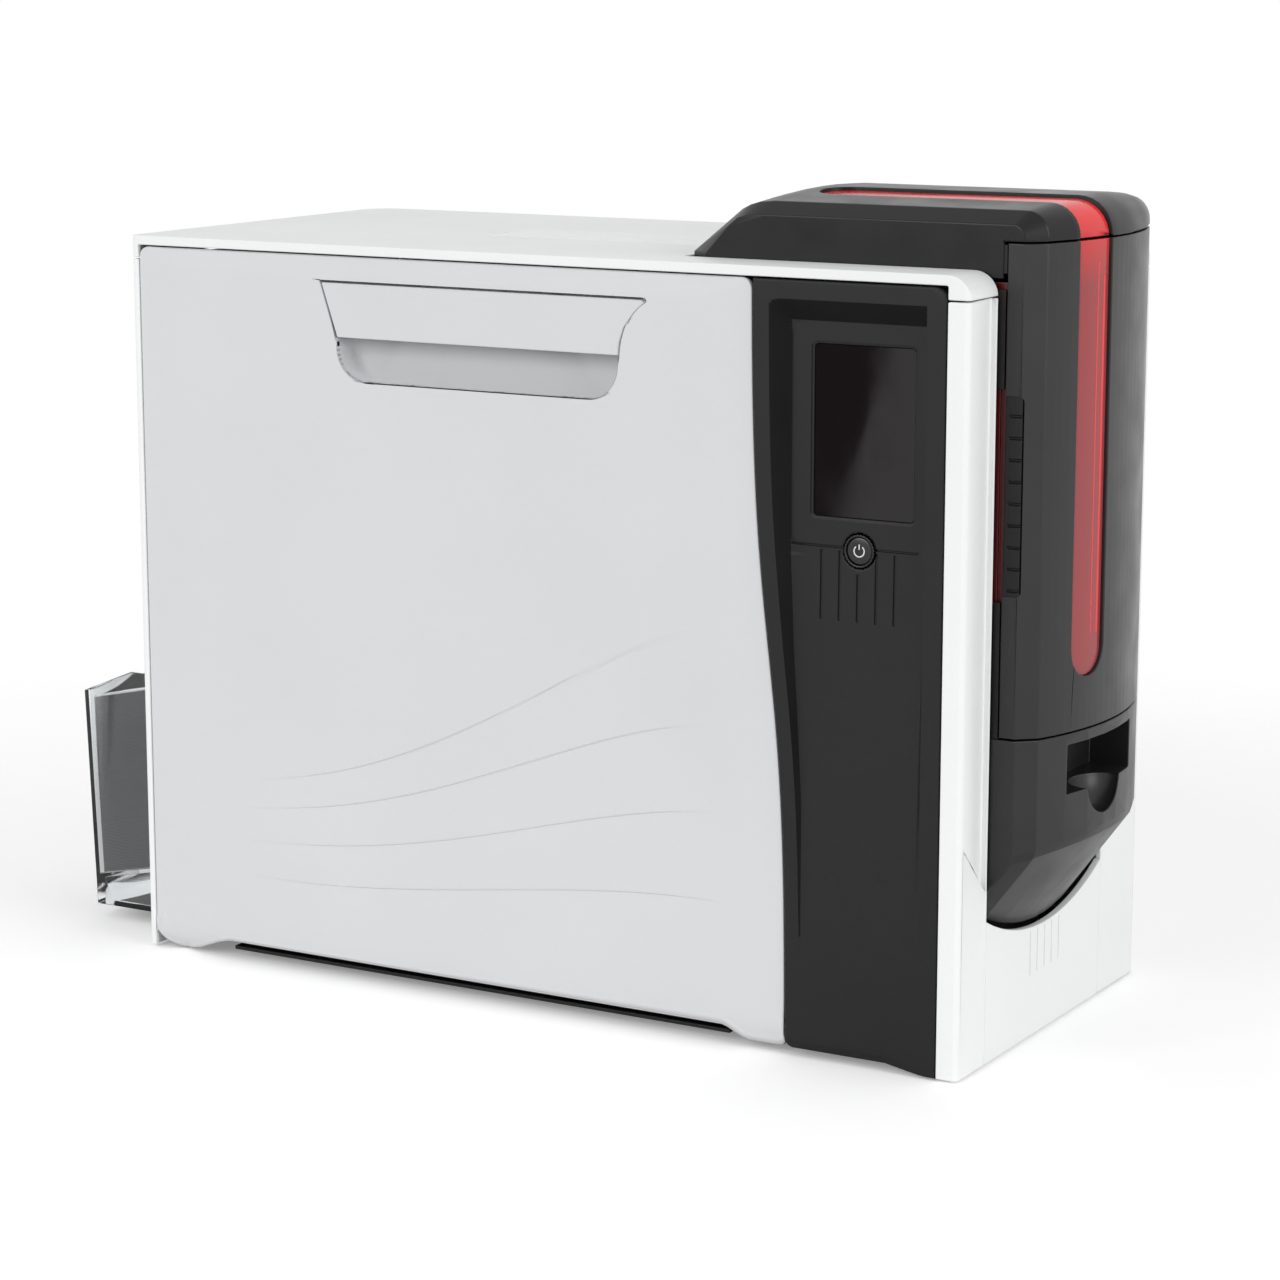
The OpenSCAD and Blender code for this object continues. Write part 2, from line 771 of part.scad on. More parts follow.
module recess_cut(t) {
    y1 = y_n + recess_d + t;
    intersection() {
        along_y(y_n - 1, y1 + 1) recess_outline(recess_wall * 0.5 - t);
        along_x(x_r, x_f) polygon([[y_n - 1, recess_low], [y_n + t, recess_low - t],
            [y1, 225], [y1, recess_top + t], [y_n - 1, recess_top + t]]);
    }
}

module control_panel() {
    back = y_n + recess_d + pan_t;
    color("#343434") difference() {
        union() {
            along_y(y_n, y_n + wall) panel_outline();
            intersection() {
                along_y(y_n + wall - eps, back) panel_outline();
                recess_cut(pan_t);
            }
        }
        recess_cut(0);
        // screen window and the step its glass sits in
        along_y(y_n, back + 1)
            round_rect(screen_x0 + 2, screen_z0 + 2, screen_x1 - 2, screen_z1 - 2, 1.5);
        along_y(y_n, y_n + recess_d + glass_in + glass_t)
            round_rect(screen_x0 - 0.2, screen_z0 - 0.2, screen_x1 + 0.2, screen_z1 + 0.2, 2);
        // button hole
        y_rod(button_x, button_z, button_r + ring_w, y_n, back + 1);
        // grooves under the button
        for (i = [0 : panel_groove_n - 1])
            translate([x_f - 70.8 + i * panel_groove_step, 0, 0])
                span([-panel_groove_w / 2, y_n, 198], [panel_groove_w / 2, y_n + recess_d + 0.6,
                    i == 2 ? 219 : 228.5]);
    }
}

module display_glass() {
    color("#1c1819") along_y(y_n + recess_d + glass_in, y_n + recess_d + glass_in + glass_t - 0.1)
        round_rect(screen_x0, screen_z0, screen_x1, screen_z1, 1.8);
}

module display_module() {
    y0 = y_n + recess_d + pan_t + 0.2;
    color("#5a5f63") {
        span([screen_x0 + 2.2, y_n + recess_d + glass_in + glass_t + 0.1, screen_z0 + 2.2],
            [screen_x1 - 2.2, y0 + eps, screen_z1 - 2.2]);
        span([screen_x0 - 3, y0, screen_z0 - 3], [screen_x1 + 3, y0 + 4, screen_z1 + 3]);
        span([screen_x0 + 4, y0 + 4 - eps, screen_z0 + 6], [screen_x1 - 4, y0 + 6, screen_z1 - 6]);
    }
}

module button_ring() {
    y0 = y_n + recess_d - 0.5;
    color("#2a2a2a") difference() {
        y_rod(button_x, button_z, button_r + ring_w - 0.05, y0, y0 + pan_t + 3.5);
        y_rod(button_x, button_z, button_r + button_gap, y0 - 1, y0 + pan_t + 5);
    }
}

module power_button() {
    y0 = y_n + recess_d - 0.3;
    color("#303030") {
        y_rod(button_x, button_z, button_r, y0, y0 + pan_t + 1.5);
        y_rod(button_x, button_z, 2, y0 + pan_t + 1.5 - eps, y0 + pan_t + 1.9);
    }
}

// Board with the switch under the button; it is screwed to the ring's end.
module button_board() {
    y0 = y_n + recess_d - 0.5 + pan_t + 3.5;
    color("#1f5a35") {
        span([button_x - 14, y0, button_z - 10], [button_x + 14, y0 + 1.6, button_z + 9]);
        y_rod(button_x + 0, button_z, 1.5, y0 + 1.6 - eps, y0 + 4);
    }
}

// ---------------------------------------------------------------- feeder

// Plan of the feeder with facets and a bowed front, drawn in by t, from x0 forwards.
module feeder_plan(x0, t) {
    hw = feeder_hw - t;
    fx = x_f + facet_x - 0.4 * t;
    gx = x_f + facet_x + facet_rise - t;
    gy = feeder_hw - facet_y - 0.4 * t;
    translate([0, f_y]) {
        polygon([[x0, -hw], [fx, -hw], [gx, -gy], [gx, gy], [fx, hw], [x0, hw]]);
        intersection() {
            translate([x_f + feeder_out - front_R, 0]) circle(front_R - t, $fn = 180);
            translate([gx - eps, -gy]) square([40, 2 * gy]);
        }
    }
}

// Slot of the window on the front, drawn in by t.
module window_slot(x0, x1, t) {
    translate([0, f_y - window_off, 0]) {
        span([x0, -window_w / 2 + t, window_low + window_w / 2], [x1, window_w / 2 - t, z_t + 40]);
        x_rod(0, window_low + window_w / 2, window_w / 2 - t, x0, x1);
    }
}

x_hinge_front = x_f + 9;
y_hinge_front = f_y + feeder_hw - 7;
front_pin_r = 1.6;
far_wall_y = f_y + 39;
fin_y = f_y - feeder_hw + 0.4;

module front_door_cover() {
    z0 = chin_seam_z + cover_clear;
    z1 = hood_seam_z - cover_clear;
    x0 = x_f + cover_gap;
    color("#3c3c3c") difference() {
        union() {
            difference() {
                translate([0, 0, z0]) linear_extrude(z1 - z0) feeder_plan(x0, 0);
                translate([0, 0, z0 + 2]) linear_extrude(z1 - z0 - 3) feeder_plan(x0 - 5, feeder_wall);
                translate([0, 0, z0 - 1]) linear_extrude(z1 - z0 + 2) translate([0, f_y])
                    round_rect(x0 - 5, -feeder_hw + 12, x_f + 17, feeder_hw - 12, 3);
                window_slot(x_f, x_f + feeder_out + 1, 0);
            }
            // bosses for the hinge pin
            for (z = [z0 + 1, z1 - 9]) translate([x_hinge_front, y_hinge_front, z]) {
                cylinder(r = 3.6, h = 8);
                translate([-2, 0, 0]) cube([4, 6, 8]);
            }
        }
        translate([x_hinge_front, y_hinge_front, z0 - 1]) cylinder(r = front_pin_r + hinge_fit, h = 230);
        // finger cut-out in the near side
        along_y(f_y - feeder_hw - 1, f_y - feeder_hw + 9)
            round_rect(x0 - 8, cutout_z0, x_f + cutout_x, cutout_z1, 2.5);
    }
}

module front_window() {
    z1 = hood_seam_z - cover_clear - 0.2;
    color("#c83c40") intersection() {
        window_slot(x_f + 10, x_f + feeder_out + 2, 0.15);
        translate([0, 0, window_low]) linear_extrude(z1 - window_low) difference() {
            feeder_plan(x_f + 10, window_deep);
            feeder_plan(x_f + 5, window_deep + window_t);
        }
    }
}

module front_hinge_pin() {
    color("#b9bcc0") translate([x_hinge_front, y_hinge_front, chin_seam_z + 0.4])
        cylinder(r = front_pin_r, h = hood_seam_z - chin_seam_z - 1.2);
}

// Side view of the hood at one slice: c below its crown, s behind its front, drawn in by w,
// with k for the slope of its rear face.
module hood_profile(c, s, w, k) {
    r = front_edge_r - (max(c, s) + w) * 0.6;
    x0 = x_f - hood_foot + max(0, c - crown_sag) * 1.75 + w * 1.3;
    x1 = x_f + feeder_out - s - w;
    z1 = z_t + hood_h - c - w;
    xc = x0 + (z1 - z_t - 1.6) / k;
    polygon([[x0, z_t - hood_skirt], [x0, z_t + 1.6], [xc - 5, z1 - 5 * k], [xc - 1, z1 - 2],
        [xc + 4, z1 - 0.6], [xc + 11, z1], [x1 - r, z1], [x1 - r, z_t - hood_skirt]]);
    translate([x1 - r, z_t - hood_skirt]) square([r, hood_h + hood_skirt - c - w - r]);
    translate([x1 - r, z1 - r]) circle(r);
}

// Solid of the hood, drawn in by w: slices from the flat side to the crowned middle.
module hood_solid(w) {
    gy = feeder_hw - facet_y;
    ds = [feeder_hw - w, gy - w * 0.4, gy * 0.7, gy * 0.4, gy * 0.12];
    hull() for (i = [0 : 4]) {
        d = ds[i];
        c = i == 0 ? 10 : crown_sag * pow(min(d, gy) / gy, 2);
        s = i == 0 ? feeder_out - facet_x : feeder_out - (front_x(min(d, gy)) - x_f);
        along_y(f_y - d, f_y + d)
            hood_profile(c, s, w, i == 0 ? hood_slope + 0.3 : hood_slope, $fn = 32);
    }
}

x_hood_pin = x_f - hood_foot + 16;
z_hood_pin = z_t + 0.5;
hood_pin_r = 1.6;

module feeder_hood() {
    y0 = f_y - feeder_hw + feeder_wall + 1;
    color("#2e2e2e") difference() {
        union() {
            difference() {
                hood_solid(0);
                hood_solid(feeder_wall);
                // front part ends at the seam, rear part at the casing
                span([x_f + cover_gap - 2.1, y_n, z_t - 20], [x_f + feeder_out + 1, y_b, hood_seam_z]);
                span([x_f - 24, f_y - feeder_hw - 1, z_t - 20],
                    [x_f + 10, f_y + feeder_hw + 1, z_t - hood_skirt + 0.6]);
                span([x_f - hood_foot + 11, f_y - feeder_hw + feeder_wall, z_t - 20],
                    [x_f + cover_gap, f_y + feeder_hw - feeder_wall, z_t - 1]);
                hood_window_slot(0);
            }
            for (y = [f_y - 50, f_y + 42]) y_rod(x_hood_pin, z_hood_pin, 3, y, y + 8);
            for (y = [f_y - 50, f_y + 42]) span([x_hood_pin - 2.9, y, z_hood_pin],
                [x_hood_pin + 2.9, y + 8, z_hood_pin + 11]);
        }
        y_rod(x_hood_pin, z_hood_pin, hood_pin_r + hinge_fit, f_y - 60, f_y + 60);
    }
}

// Slot of the window along the hood's top, drawn in by t.
module hood_window_slot(t) {
    translate([0, f_y - window_off, 0]) {
        span([x_f - window_rear + window_w / 2, -window_w / 2 + t, z_t + 14],
            [x_f + feeder_out + 1, window_w / 2 - t, z_t + hood_h + 5]);
        translate([x_f - window_rear + window_w / 2, 0, z_t + 14])
            cylinder(r = window_w / 2 - t, h = hood_h);
        span([x_f + 6, -window_w / 2 + t, hood_seam_z - 1],
            [x_f + feeder_out + 1, window_w / 2 - t, z_t + hood_h + 5]);
    }
}

module hood_window() {
    color("#d8484a") intersection() {
        difference() {
            hood_solid(window_deep);
            hood_solid(window_deep + window_t);
        }
        hood_window_slot(0.15);
        span([x_r, y_n, hood_seam_z + 0.2], [x_f + 60, y_b, z_t + 60]);
    }
}

module hood_hinge_pin() {
    color("#b9bcc0") y_rod(x_hood_pin, z_hood_pin, hood_pin_r, f_y - 52, f_y + 52);
}

// Fixed frame that holds the magazine, the hood's pin and the front cover's pin.
module feeder_frame() {
    z0 = mag_z0 - 3;
    zt = z_t - 7;
    color("#262626") difference() {
        union() {
            // shelf under the magazine
            span([mag_x0 - 3, path_y - mag_hw - 0.2, z0], [x_f + 2.6, far_wall_y + 2, mag_z0 - 0.3]);
            // wall behind the magazine
            span([mag_x0 - 3, path_y - mag_hw, z0], [mag_x0 - 0.8, path_y + mag_hw + 2.8, zt]);
            // wall beside the magazine
            span([mag_x0 - 3, path_y + mag_hw + 0.6, z0], [x_f + 2.6, path_y + mag_hw + 2.8, zt]);
            // fin between the near pillar and the front cover
            span([x_f - 10, fin_y, z0], [x_f + 2.8, fin_y + 1.2, zt - 1]);
            span([x_f - 10, fin_y, z0], [x_f + 2.6, path_y - mag_hw + 1, mag_z0 - 0.3]);
            // far wall behind the front cover's pin
            span([x_f - 20, far_wall_y, z0], [x_f + 2.6, far_wall_y + 2, zt]);
            // arms that carry the hood's pin
            for (y = [f_y - 40, f_y + 36]) {
                span([x_hood_pin, y, z_hood_pin - 3], [mag_x0 - 1, y + 4, z_hood_pin + 1]);
                y_rod(x_hood_pin, z_hood_pin, 3, y, y + 4);
            }
            span([mag_x0 - 3, f_y - 40, zt - 8], [mag_x0 - 0.8, f_y + 40, z_hood_pin + 1]);
            // ears for the front cover's pin, reached from inside the cover
            for (z = [chin_seam_z + cover_clear + 10, z_t - 20]) translate([0, 0, z]) {
                translate([x_hinge_front, y_hinge_front, 0]) cylinder(r = 3.4, h = 4);
                span([x_hinge_front - 2, far_wall_y - 2, 0], [x_hinge_front + 2, y_hinge_front, 4]);
                span([x_f + 1, far_wall_y - 2, 0], [x_hinge_front + 2, far_wall_y + 2, 4]);
            }
        }
        y_rod(x_hood_pin, z_hood_pin, hood_pin_r, f_y - 60, f_y + 60);
        translate([x_hinge_front, y_hinge_front, chin_seam_z]) cylinder(r = front_pin_r, h = 230);
        // finger cut-out's way through the fin
        span([x_f - 6, fin_y - 1, cutout_z0 - 3], [x_f + 4, fin_y + 2, cutout_z1 + 3]);
        // mouth that lets the lowest card out to the rollers
        span([mag_x0 + 4, path_y - mag_hw + 4, z0 - 1], [mag_x1 - 6, path_y + mag_hw - 4, mag_z0 + 1]);
    }
}

// Chin's solid: slices from the flat side to the bowed middle, upright and then sloping back.
module chin_solid() {
    gy = feeder_hw - facet_y;
    x0 = x_f - wall - 8;
    ds = [feeder_hw, gy, gy * 0.7, gy * 0.4, gy * 0.12];
    hull() for (i = [0 : 4]) {
        x1 = i == 0 ? x_f + facet_x : front_x(ds[i]);
        rel = i == 0 ? -1 : (x1 - front_x(gy)) / front_sag;
        zb = belly_z + 2.5 * rel;
        k = i == 0 ? belly_k + 0.13 : belly_k - 0.04 * rel;
        along_y(f_y - ds[i], f_y + ds[i]) polygon([[x0, chin_seam_z], [x1, chin_seam_z], [x1, zb],
            [x1 - 1, zb - 4], [x1 - 4.6, zb - 9], [x0, zb - 9 - (x1 - 4.6 - x0) / k]]);
    }
}

// Lower front of the feeder: bowed front, sloping belly and the hand feed recess.
module feeder_chin() {
    z1 = chin_seam_z;
    x0 = x_f - wall - 8;
    slot_hw = 32.5;
    slot_y = f_y - 5;
    color("#3a3a3a") difference() {
        intersection() {
            chin_solid();
            // belly is round from side to side, inside the insert's arc
            x_rod(f_y, arc_low + arc_r + 2.5, arc_r, x0 - 1, x_f + feeder_out + 1, $fn = 180);
        }
        // hollow from behind
        translate([0, 0, 93]) linear_extrude(z1 - 93 - feeder_wall) intersection() {
            feeder_plan(x0 - 1, feeder_wall);
            translate([x0 - 1, -100]) square([18, 200]);
        }
        // hand feed recess
        span([x_f + 8, slot_y - slot_hw, 121], [x_f + feeder_out + 1, slot_y + slot_hw, z1 - 5]);
        // card mouth at its back
        span([x0 - 1, slot_y - 28, path_z - 1.5], [x_f + 12, slot_y + 28, path_z + 1.5]);
        // thumb scoop in its lip
        translate([x_f + feeder_out - 3, slot_y, 124]) scale([0.8, 1, 1]) sphere(r = 17);
    }
}

module card_magazine() {
    y0 = path_y - mag_hw;
    y1 = path_y + mag_hw;
    color("#7a1a1c") difference() {
        span([mag_x0, y0, mag_z0], [mag_x1, y1, mag_z1]);
        span([mag_x0 + mag_wall, y0 + mag_wall, mag_z0 + 2], [mag_x1 - mag_wall, y1 - mag_wall, z_t]);
        // slot for the weight's grip
        span([mag_x0 - 1, path_y - 12, mag_z0 + 30], [mag_x0 + 5, path_y + 12, z_t]);
        // seat of the grip and bore of the dial
        span([x_f + 0.2, y0 - 1, cutout_z0 - 6], [mag_x1 + 1, y0 + grip_in, cutout_z1 + 6]);
        x_rod(path_y - 4, dial_z, dial_pin_r + hinge_fit, mag_x1 - 10, mag_x1 + 1);
        // gate for the lowest card and mouth for the pick roller
        span([mag_x0 - 1, y0 + mag_wall + 1, mag_z0 - 1], [mag_x0 + 3, y1 - mag_wall - 1, mag_z0 + 4]);
        span([x_pick - 12, path_y - 22, mag_z0 - 1], [x_pick + 12, path_y + 22, mag_z0 + 3]);
    }
}

// Ribbed grip let into the magazine's side, seen through the cut-out.
module magazine_grip() {
    y0 = path_y - mag_hw;
    color("#303030") difference() {
        span([x_f + 0.2, y0 - grip_out, cutout_z0 - 6], [mag_x1, y0 + grip_in, cutout_z1 + 6]);
        for (i = [0 : 8]) span([x_f - 1, y0 - 1, cutout_z0 + 8.5 + i * grip_step],
            [mag_x1 + 1, y0 + 0.5, cutout_z0 + 9.5 + i * grip_step]);
    }
}

// Round dial on the magazine's front that sets the card thickness.
module thickness_dial() {
    x0 = mag_x1 + 0.3;
    color("#8a8a8a") translate([0, 0, dial_z]) {
        x_rod(path_y - 4, 0, dial_r, x0, x0 + 2.4);
        x_rod(path_y - 4, 0, 9, x0 + 2.4 - eps, x0 + 5);
        x_rod(path_y - 4, 0, dial_pin_r, mag_x1 - mag_wall + 0.2, x0 + eps);
    }
}

module blank_cards() {
    z0 = mag_z0 + 2;
    color("#e9eaec") span([mag_x0 + mag_wall + mag_clear, path_y - card_w / 2, z0],
        [mag_x0 + mag_wall + mag_clear + card_l, path_y + card_w / 2, z0 + feed_stack_h]);
}

module card_weight() {
    z0 = mag_z0 + 2 + feed_stack_h + 0.3;
    x0 = mag_x0 + mag_wall + mag_clear + 1;
    color("#4a4a4c") {
        span([x0, path_y - card_w / 2 + 1, z0], [x0 + card_l - 2, path_y + card_w / 2 - 1, z0 + 6]);
        span([x0 + 20, path_y - 8, z0 + 6 - eps], [x0 + 24, path_y + 8, z0 + 22]);
    }
}

// ---------------------------------------------------------------- card path

// Roller with a rubber sleeve on a steel shaft between the two plates.
module roller(x, z, r, far) {
    y_rod(x, z, r, path_y - roller_hw, path_y + roller_hw);
    y_rod(x, z, shaft_r, near_plate_y - 1.5, far);
}

module pick_roller() {
    color("#555555") {
        y_rod(x_pick, path_lo - path_r - 0.2, path_r, path_y - 18, path_y + 18);
        y_rod(x_pick, path_lo - path_r - 0.2, shaft_r, near_plate_y - 1.5, gear_y + gear_w);
    }
}

module path_roller_front() {
    color("#4b4b4d") roller(x_pinch_front, path_lo - path_r, path_r, gear_y + gear_w);
}

module path_roller_rear() {
    color("#4b4b4d") roller(x_pinch_rear, path_lo - path_r, path_r, gear_y + gear_w);
}

module pinch_roller_front() {
    color("#77787a") roller(x_pinch_front, path_hi + path_r, path_r, chassis_y + plate_t + 1);
}

module pinch_roller_rear() {
    color("#77787a") roller(x_pinch_rear, path_hi + path_r, path_r, chassis_y + plate_t + 1);
}

// Lower guide plate of the path, open where a roller comes up through it.
module card_guides() {
    z0 = path_lo - 3.6;
    z1 = path_lo - 0.6;
    x1 = x_f - wall - 9;
    hw = card_w / 2;
    color("#2b2b2d") difference() {
        union() {
            span([near_plate_x0 + 4, path_y - hw - 9, z0], [x1, path_y + hw + 9, z1]);
            for (s = [-1, 1]) translate([0, path_y + s * (hw + 1.7), 0])
                span([near_plate_x0 + 4, -1.2, z0], [x1, 1.2, path_lo + 2.5]);
            // bars to the two plates
            for (x = [near_plate_x0 + 8, near_plate_x0 + 140, near_plate_x1 - 12])
                span([x, near_plate_y + near_plate_t, z0], [x + 6, chassis_y, z1]);
        }
        for (x = [x_pick, x_pinch_front, x_pinch_rear, x_transfer])
            span([x - 12, path_y - hw - 4.5, z0 - 1], [x + 12, path_y + hw + 4.5, path_lo + 4]);
    }
}

// ---------------------------------------------------------------- plates and drive

roller_bores = [[x_pick, path_lo - path_r - 0.2], [x_pinch_front, path_lo - path_r],
    [x_pinch_rear, path_lo - path_r], [x_pinch_front, path_hi + path_r],
    [x_pinch_rear, path_hi + path_r],
    [x_transfer, z_transfer], [x_transfer, z_pressure]];
spool_bores = [[x_ribbon, z_ribbon_up], [x_ribbon, z_ribbon_low], [x_film, z_film_up],
    [x_film, z_film_low], [x_platen, z_platen]];

module chassis_plate() {
    color("#b4b8bc") difference() {
        union() {
            span([plate_x0, chassis_y, foot_h + tray_t], [plate_x1, chassis_y + plate_t, z_t - 22]);
            // lower arm under the feeder's shelf
            span([plate_x0, chassis_y, foot_h + tray_t], [plate_low_x1, chassis_y + plate_t, mag_z0 - 3]);
            // foot flange on the tray
            span([plate_x0, chassis_y, foot_h + tray_t], [plate_low_x1, chassis_y + flange_w, foot_h + tray_t + 2]);
        }
        for (p = roller_bores) y_rod(p[0], p[1], shaft_r + shaft_fit, chassis_y - 1, chassis_y + plate_t + 1);
        for (p = spool_bores) y_rod(p[0], p[1], shaft_r + shaft_fit, chassis_y - 1, chassis_y + plate_t + 1);
        y_rod(head_x, head_z, shaft_r + shaft_fit, chassis_y - 1, chassis_y + plate_t + 1);
        // cable openings
        for (x = [plate_x0 + 60, plate_x0 + 250]) along_y(chassis_y - 1, chassis_y + plate_t + 1)
            round_rect(x, 40, x + 60, 80, 6);
    }
}

module bearing_plate() {
    color("#a9adb1") difference() {
        union() {
            span([near_plate_x0, near_plate_y, path_z - 40], [near_plate_x1, near_plate_y + near_plate_t, path_z + 36]);
            // legs down to the tray
            for (x = [near_plate_x0 + 34, near_plate_x1 - 30])
                span([x, near_plate_y, foot_h + tray_t], [x + 24, near_plate_y + near_plate_t, path_z - 40 + eps]);
            for (x = [near_plate_x0 + 34, near_plate_x1 - 30])
                span([x, near_plate_y, foot_h + tray_t], [x + 24, near_plate_y + 14, foot_h + tray_t + 2]);
            // arm for the pick roller
            span([near_plate_x1 - 1, near_plate_y, path_z - 30], [x_pick + 10, near_plate_y + near_plate_t, path_z - 3]);
        }
        for (p = roller_bores) y_rod(p[0], p[1], shaft_r + shaft_fit, near_plate_y - 1, near_plate_y + near_plate_t + 1);
    }
}

// Spur gear about Y with straight-flanked teeth.
module gear(teeth, y0, w, turn) {
    rp = gear_m * teeth / 2;
    ra = rp + gear_m * 0.75;
    rf = rp - gear_m * 1.1;
    step = 360 / teeth;
    half_root = step * 0.36;
    half_pitch = step * (0.25 - gear_back / (2 * PI * gear_m));
    half_tip = step * 0.11;
    translate([0, y0 + w, 0]) rotate([90, 0, 0]) linear_extrude(w) rotate(turn)
        polygon([for (i = [0 : teeth - 1], k = [[-half_root, rf], [-half_pitch, rp],
            [-half_tip, ra], [half_tip, ra], [half_pitch, rp], [half_root, rf]])
            [k[1] * cos(i * step + k[0]), k[1] * sin(i * step + k[0])]]);
}

gear_dist = gear_m * (gear_teeth + pinion_teeth) / 2 + 0.15;

module transfer_roller() {
    color("#c8744a") {
        y_rod(x_transfer, z_transfer, transfer_r, path_y - roller_hw - 2, path_y + roller_hw + 2);
        y_rod(x_transfer, z_transfer, shaft_r, near_plate_y - 1.5, gear_y + gear_w + 1);
        translate([x_transfer, 0, z_transfer]) gear(gear_teeth, gear_y, gear_w, 0);
    }
}

module pressure_roller() {
    color("#6e6f72") roller(x_transfer, z_pressure, pressure_r, chassis_y + plate_t + 1);
}

// Pinion on the transport motor's shaft; a gap between teeth faces the driven gear's tooth.
module drive_pinion() {
    color("#c9a24a") translate([x_transfer + gear_dist, 0, z_transfer]) {
        gear(pinion_teeth, gear_y, gear_w, 180 + 180 / pinion_teeth);
        y_rod(0, 0, shaft_r, gear_y + gear_w - eps, bracket_y + 5);
    }
}

motor_places = [[x_transfer + gear_dist, z_transfer], [x_ribbon, z_ribbon_low], [x_film, z_film_low]];

module motor_bracket() {
    color("#9da1a5") difference() {
        union() {
            span([x_film - 30, bracket_y, z_transfer - 26], [x_ribbon + 30, bracket_y + 2, z_ribbon_low + 30]);
            for (x = [x_film - 26, x_film + 150, x_ribbon + 20], z = [z_transfer - 20])
                y_rod(x, z, 4, chassis_y + plate_t, bracket_y + eps);
            for (x = [x_film + 60, x_ribbon - 60]) y_rod(x, z_ribbon_low + 24, 4, chassis_y + plate_t, bracket_y + eps);
        }
        for (p = motor_places) y_rod(p[0], p[1], shaft_r + 1, bracket_y - 1, bracket_y + 3);
    }
}

module drive_motors() {
    y0 = bracket_y + 2;
    color("#6c6f74") for (p = motor_places) difference() {
        union() {
            along_y(y0, y0 + 34) round_rect(p[0] - 21, p[1] - 21, p[0] + 21, p[1] + 21, 4);
            y_rod(p[0], p[1], 8, y0 + 34 - eps, y0 + 36);
        }
        y_rod(p[0], p[1], shaft_r + 0.4, y0 - 1, y0 + 6);
    }
}

// ---------------------------------------------------------------- ribbon, film, head

// Spool with two flanges and its wound web; its spindle runs to the chassis.
module spool(x, z, wound, far) {
    y0 = path_y - web_w / 2;
    y1 = path_y + web_w / 2;
    y_rod(x, z, core_r, y0 - 4, y1 + 4);
    y_rod(x, z, wound, y0, y1);
    y_rod(x, z, shaft_r, y1 + 4 - eps, far);
    y_rod(x, z, shaft_r, y0 - 9, y0 - 4 + eps);
}

module ribbon_supply_spool() {
    color("#2f6f3f") spool(x_ribbon, z_ribbon_up, roll_r, chassis_y + plate_t + 3);
}

module ribbon_takeup_spool() {
    color("#2b2b30") spool(x_ribbon, z_ribbon_low, 16, bracket_y + 6);
}

module film_supply_spool() {
    color("#b8a06a") spool(x_film, z_film_up, roll_r + 2, chassis_y + plate_t + 3);
}

module film_takeup_spool() {
    color("#8d8d95") spool(x_film, z_film_low, 18, bracket_y + 6);
}

// Frame that carries the ribbon spools as one cassette.
module ribbon_cassette() {
    y0 = path_y - web_w / 2 - 8;
    z0 = z_ribbon_low - 22;
    z1 = z_ribbon_up + 30;
    color("#3a3d42") difference() {
        union() {
            along_y(y0, y0 + 2.5) round_rect(x_ribbon - 20, z0, x_ribbon + 20, z1, 8);
            // post beside the spools, to the chassis
            span([x_ribbon + 34, y0, z_ribbon_low - 6], [x_ribbon + 39, chassis_y, z_ribbon_up + 6]);
            span([x_ribbon + 15, y0, z_ribbon_low - 6], [x_ribbon + 39, y0 + 2.5, z_ribbon_up + 6]);
            // grip
            along_y(y0 - 12, y0 + eps) round_rect(x_ribbon - 3, z_ribbon_low + 24, x_ribbon + 3, z_ribbon_low + 54, 2.8);
        }
        for (z = [z_ribbon_up, z_ribbon_low]) y_rod(x_ribbon, z, shaft_r + shaft_fit, y0 - 1, y0 + 4);
    }
}

// Ribbon from the supply spool past the head to the take-up spool.
module ribbon_web() {
    t = 0.4;
    a = [x_ribbon - roll_r - 0.6, z_ribbon_up];
    b = [x_platen + platen_r + 1.35, z_platen + 14];
    c = [x_platen + platen_r + 1.35, z_platen - 12];
    d = [x_ribbon - 16.6, z_ribbon_low];
    color("#26262c") along_y(path_y - web_w / 2 + 1, path_y + web_w / 2 - 1) {
        strip(a, b, t);
        strip(b, c, t);
        strip(c, d, t);
    }
}

// Retransfer film from its supply past the platen and round the foot of the hot roller.
module film_web() {
    t = 0.4;
    q = transfer_r + 0.5;
    px = x_platen + platen_r + 0.55;
    a = [x_film + roll_r + 2.6, z_film_up];
    b = [px, z_platen + 12];
    c = [px, z_platen - 12];
    d = [x_transfer + q, z_transfer];
    e = [x_transfer - q, z_transfer];
    f = [x_film + 18.6, z_film_low];
    color("#d9c98f") along_y(path_y - web_w / 2 + 1, path_y + web_w / 2 - 1) {
        strip(a, b, t);
        strip(b, c, t);
        strip(c, d, t);
        strip(e, f, t);
        translate([x_transfer, z_transfer]) difference() {
            circle(q + t / 2);
            circle(q - t / 2);
            translate([-50, 0.3]) square([100, 50]);
        }
    }
}

module platen_roller() {
    color("#3d3d40") {
        y_rod(x_platen, z_platen, platen_r, path_y - roller_hw - 3, path_y + roller_hw + 3);
        y_rod(x_platen, z_platen, shaft_r, path_y - roller_hw - 9, chassis_y + plate_t + 3);
    }
}

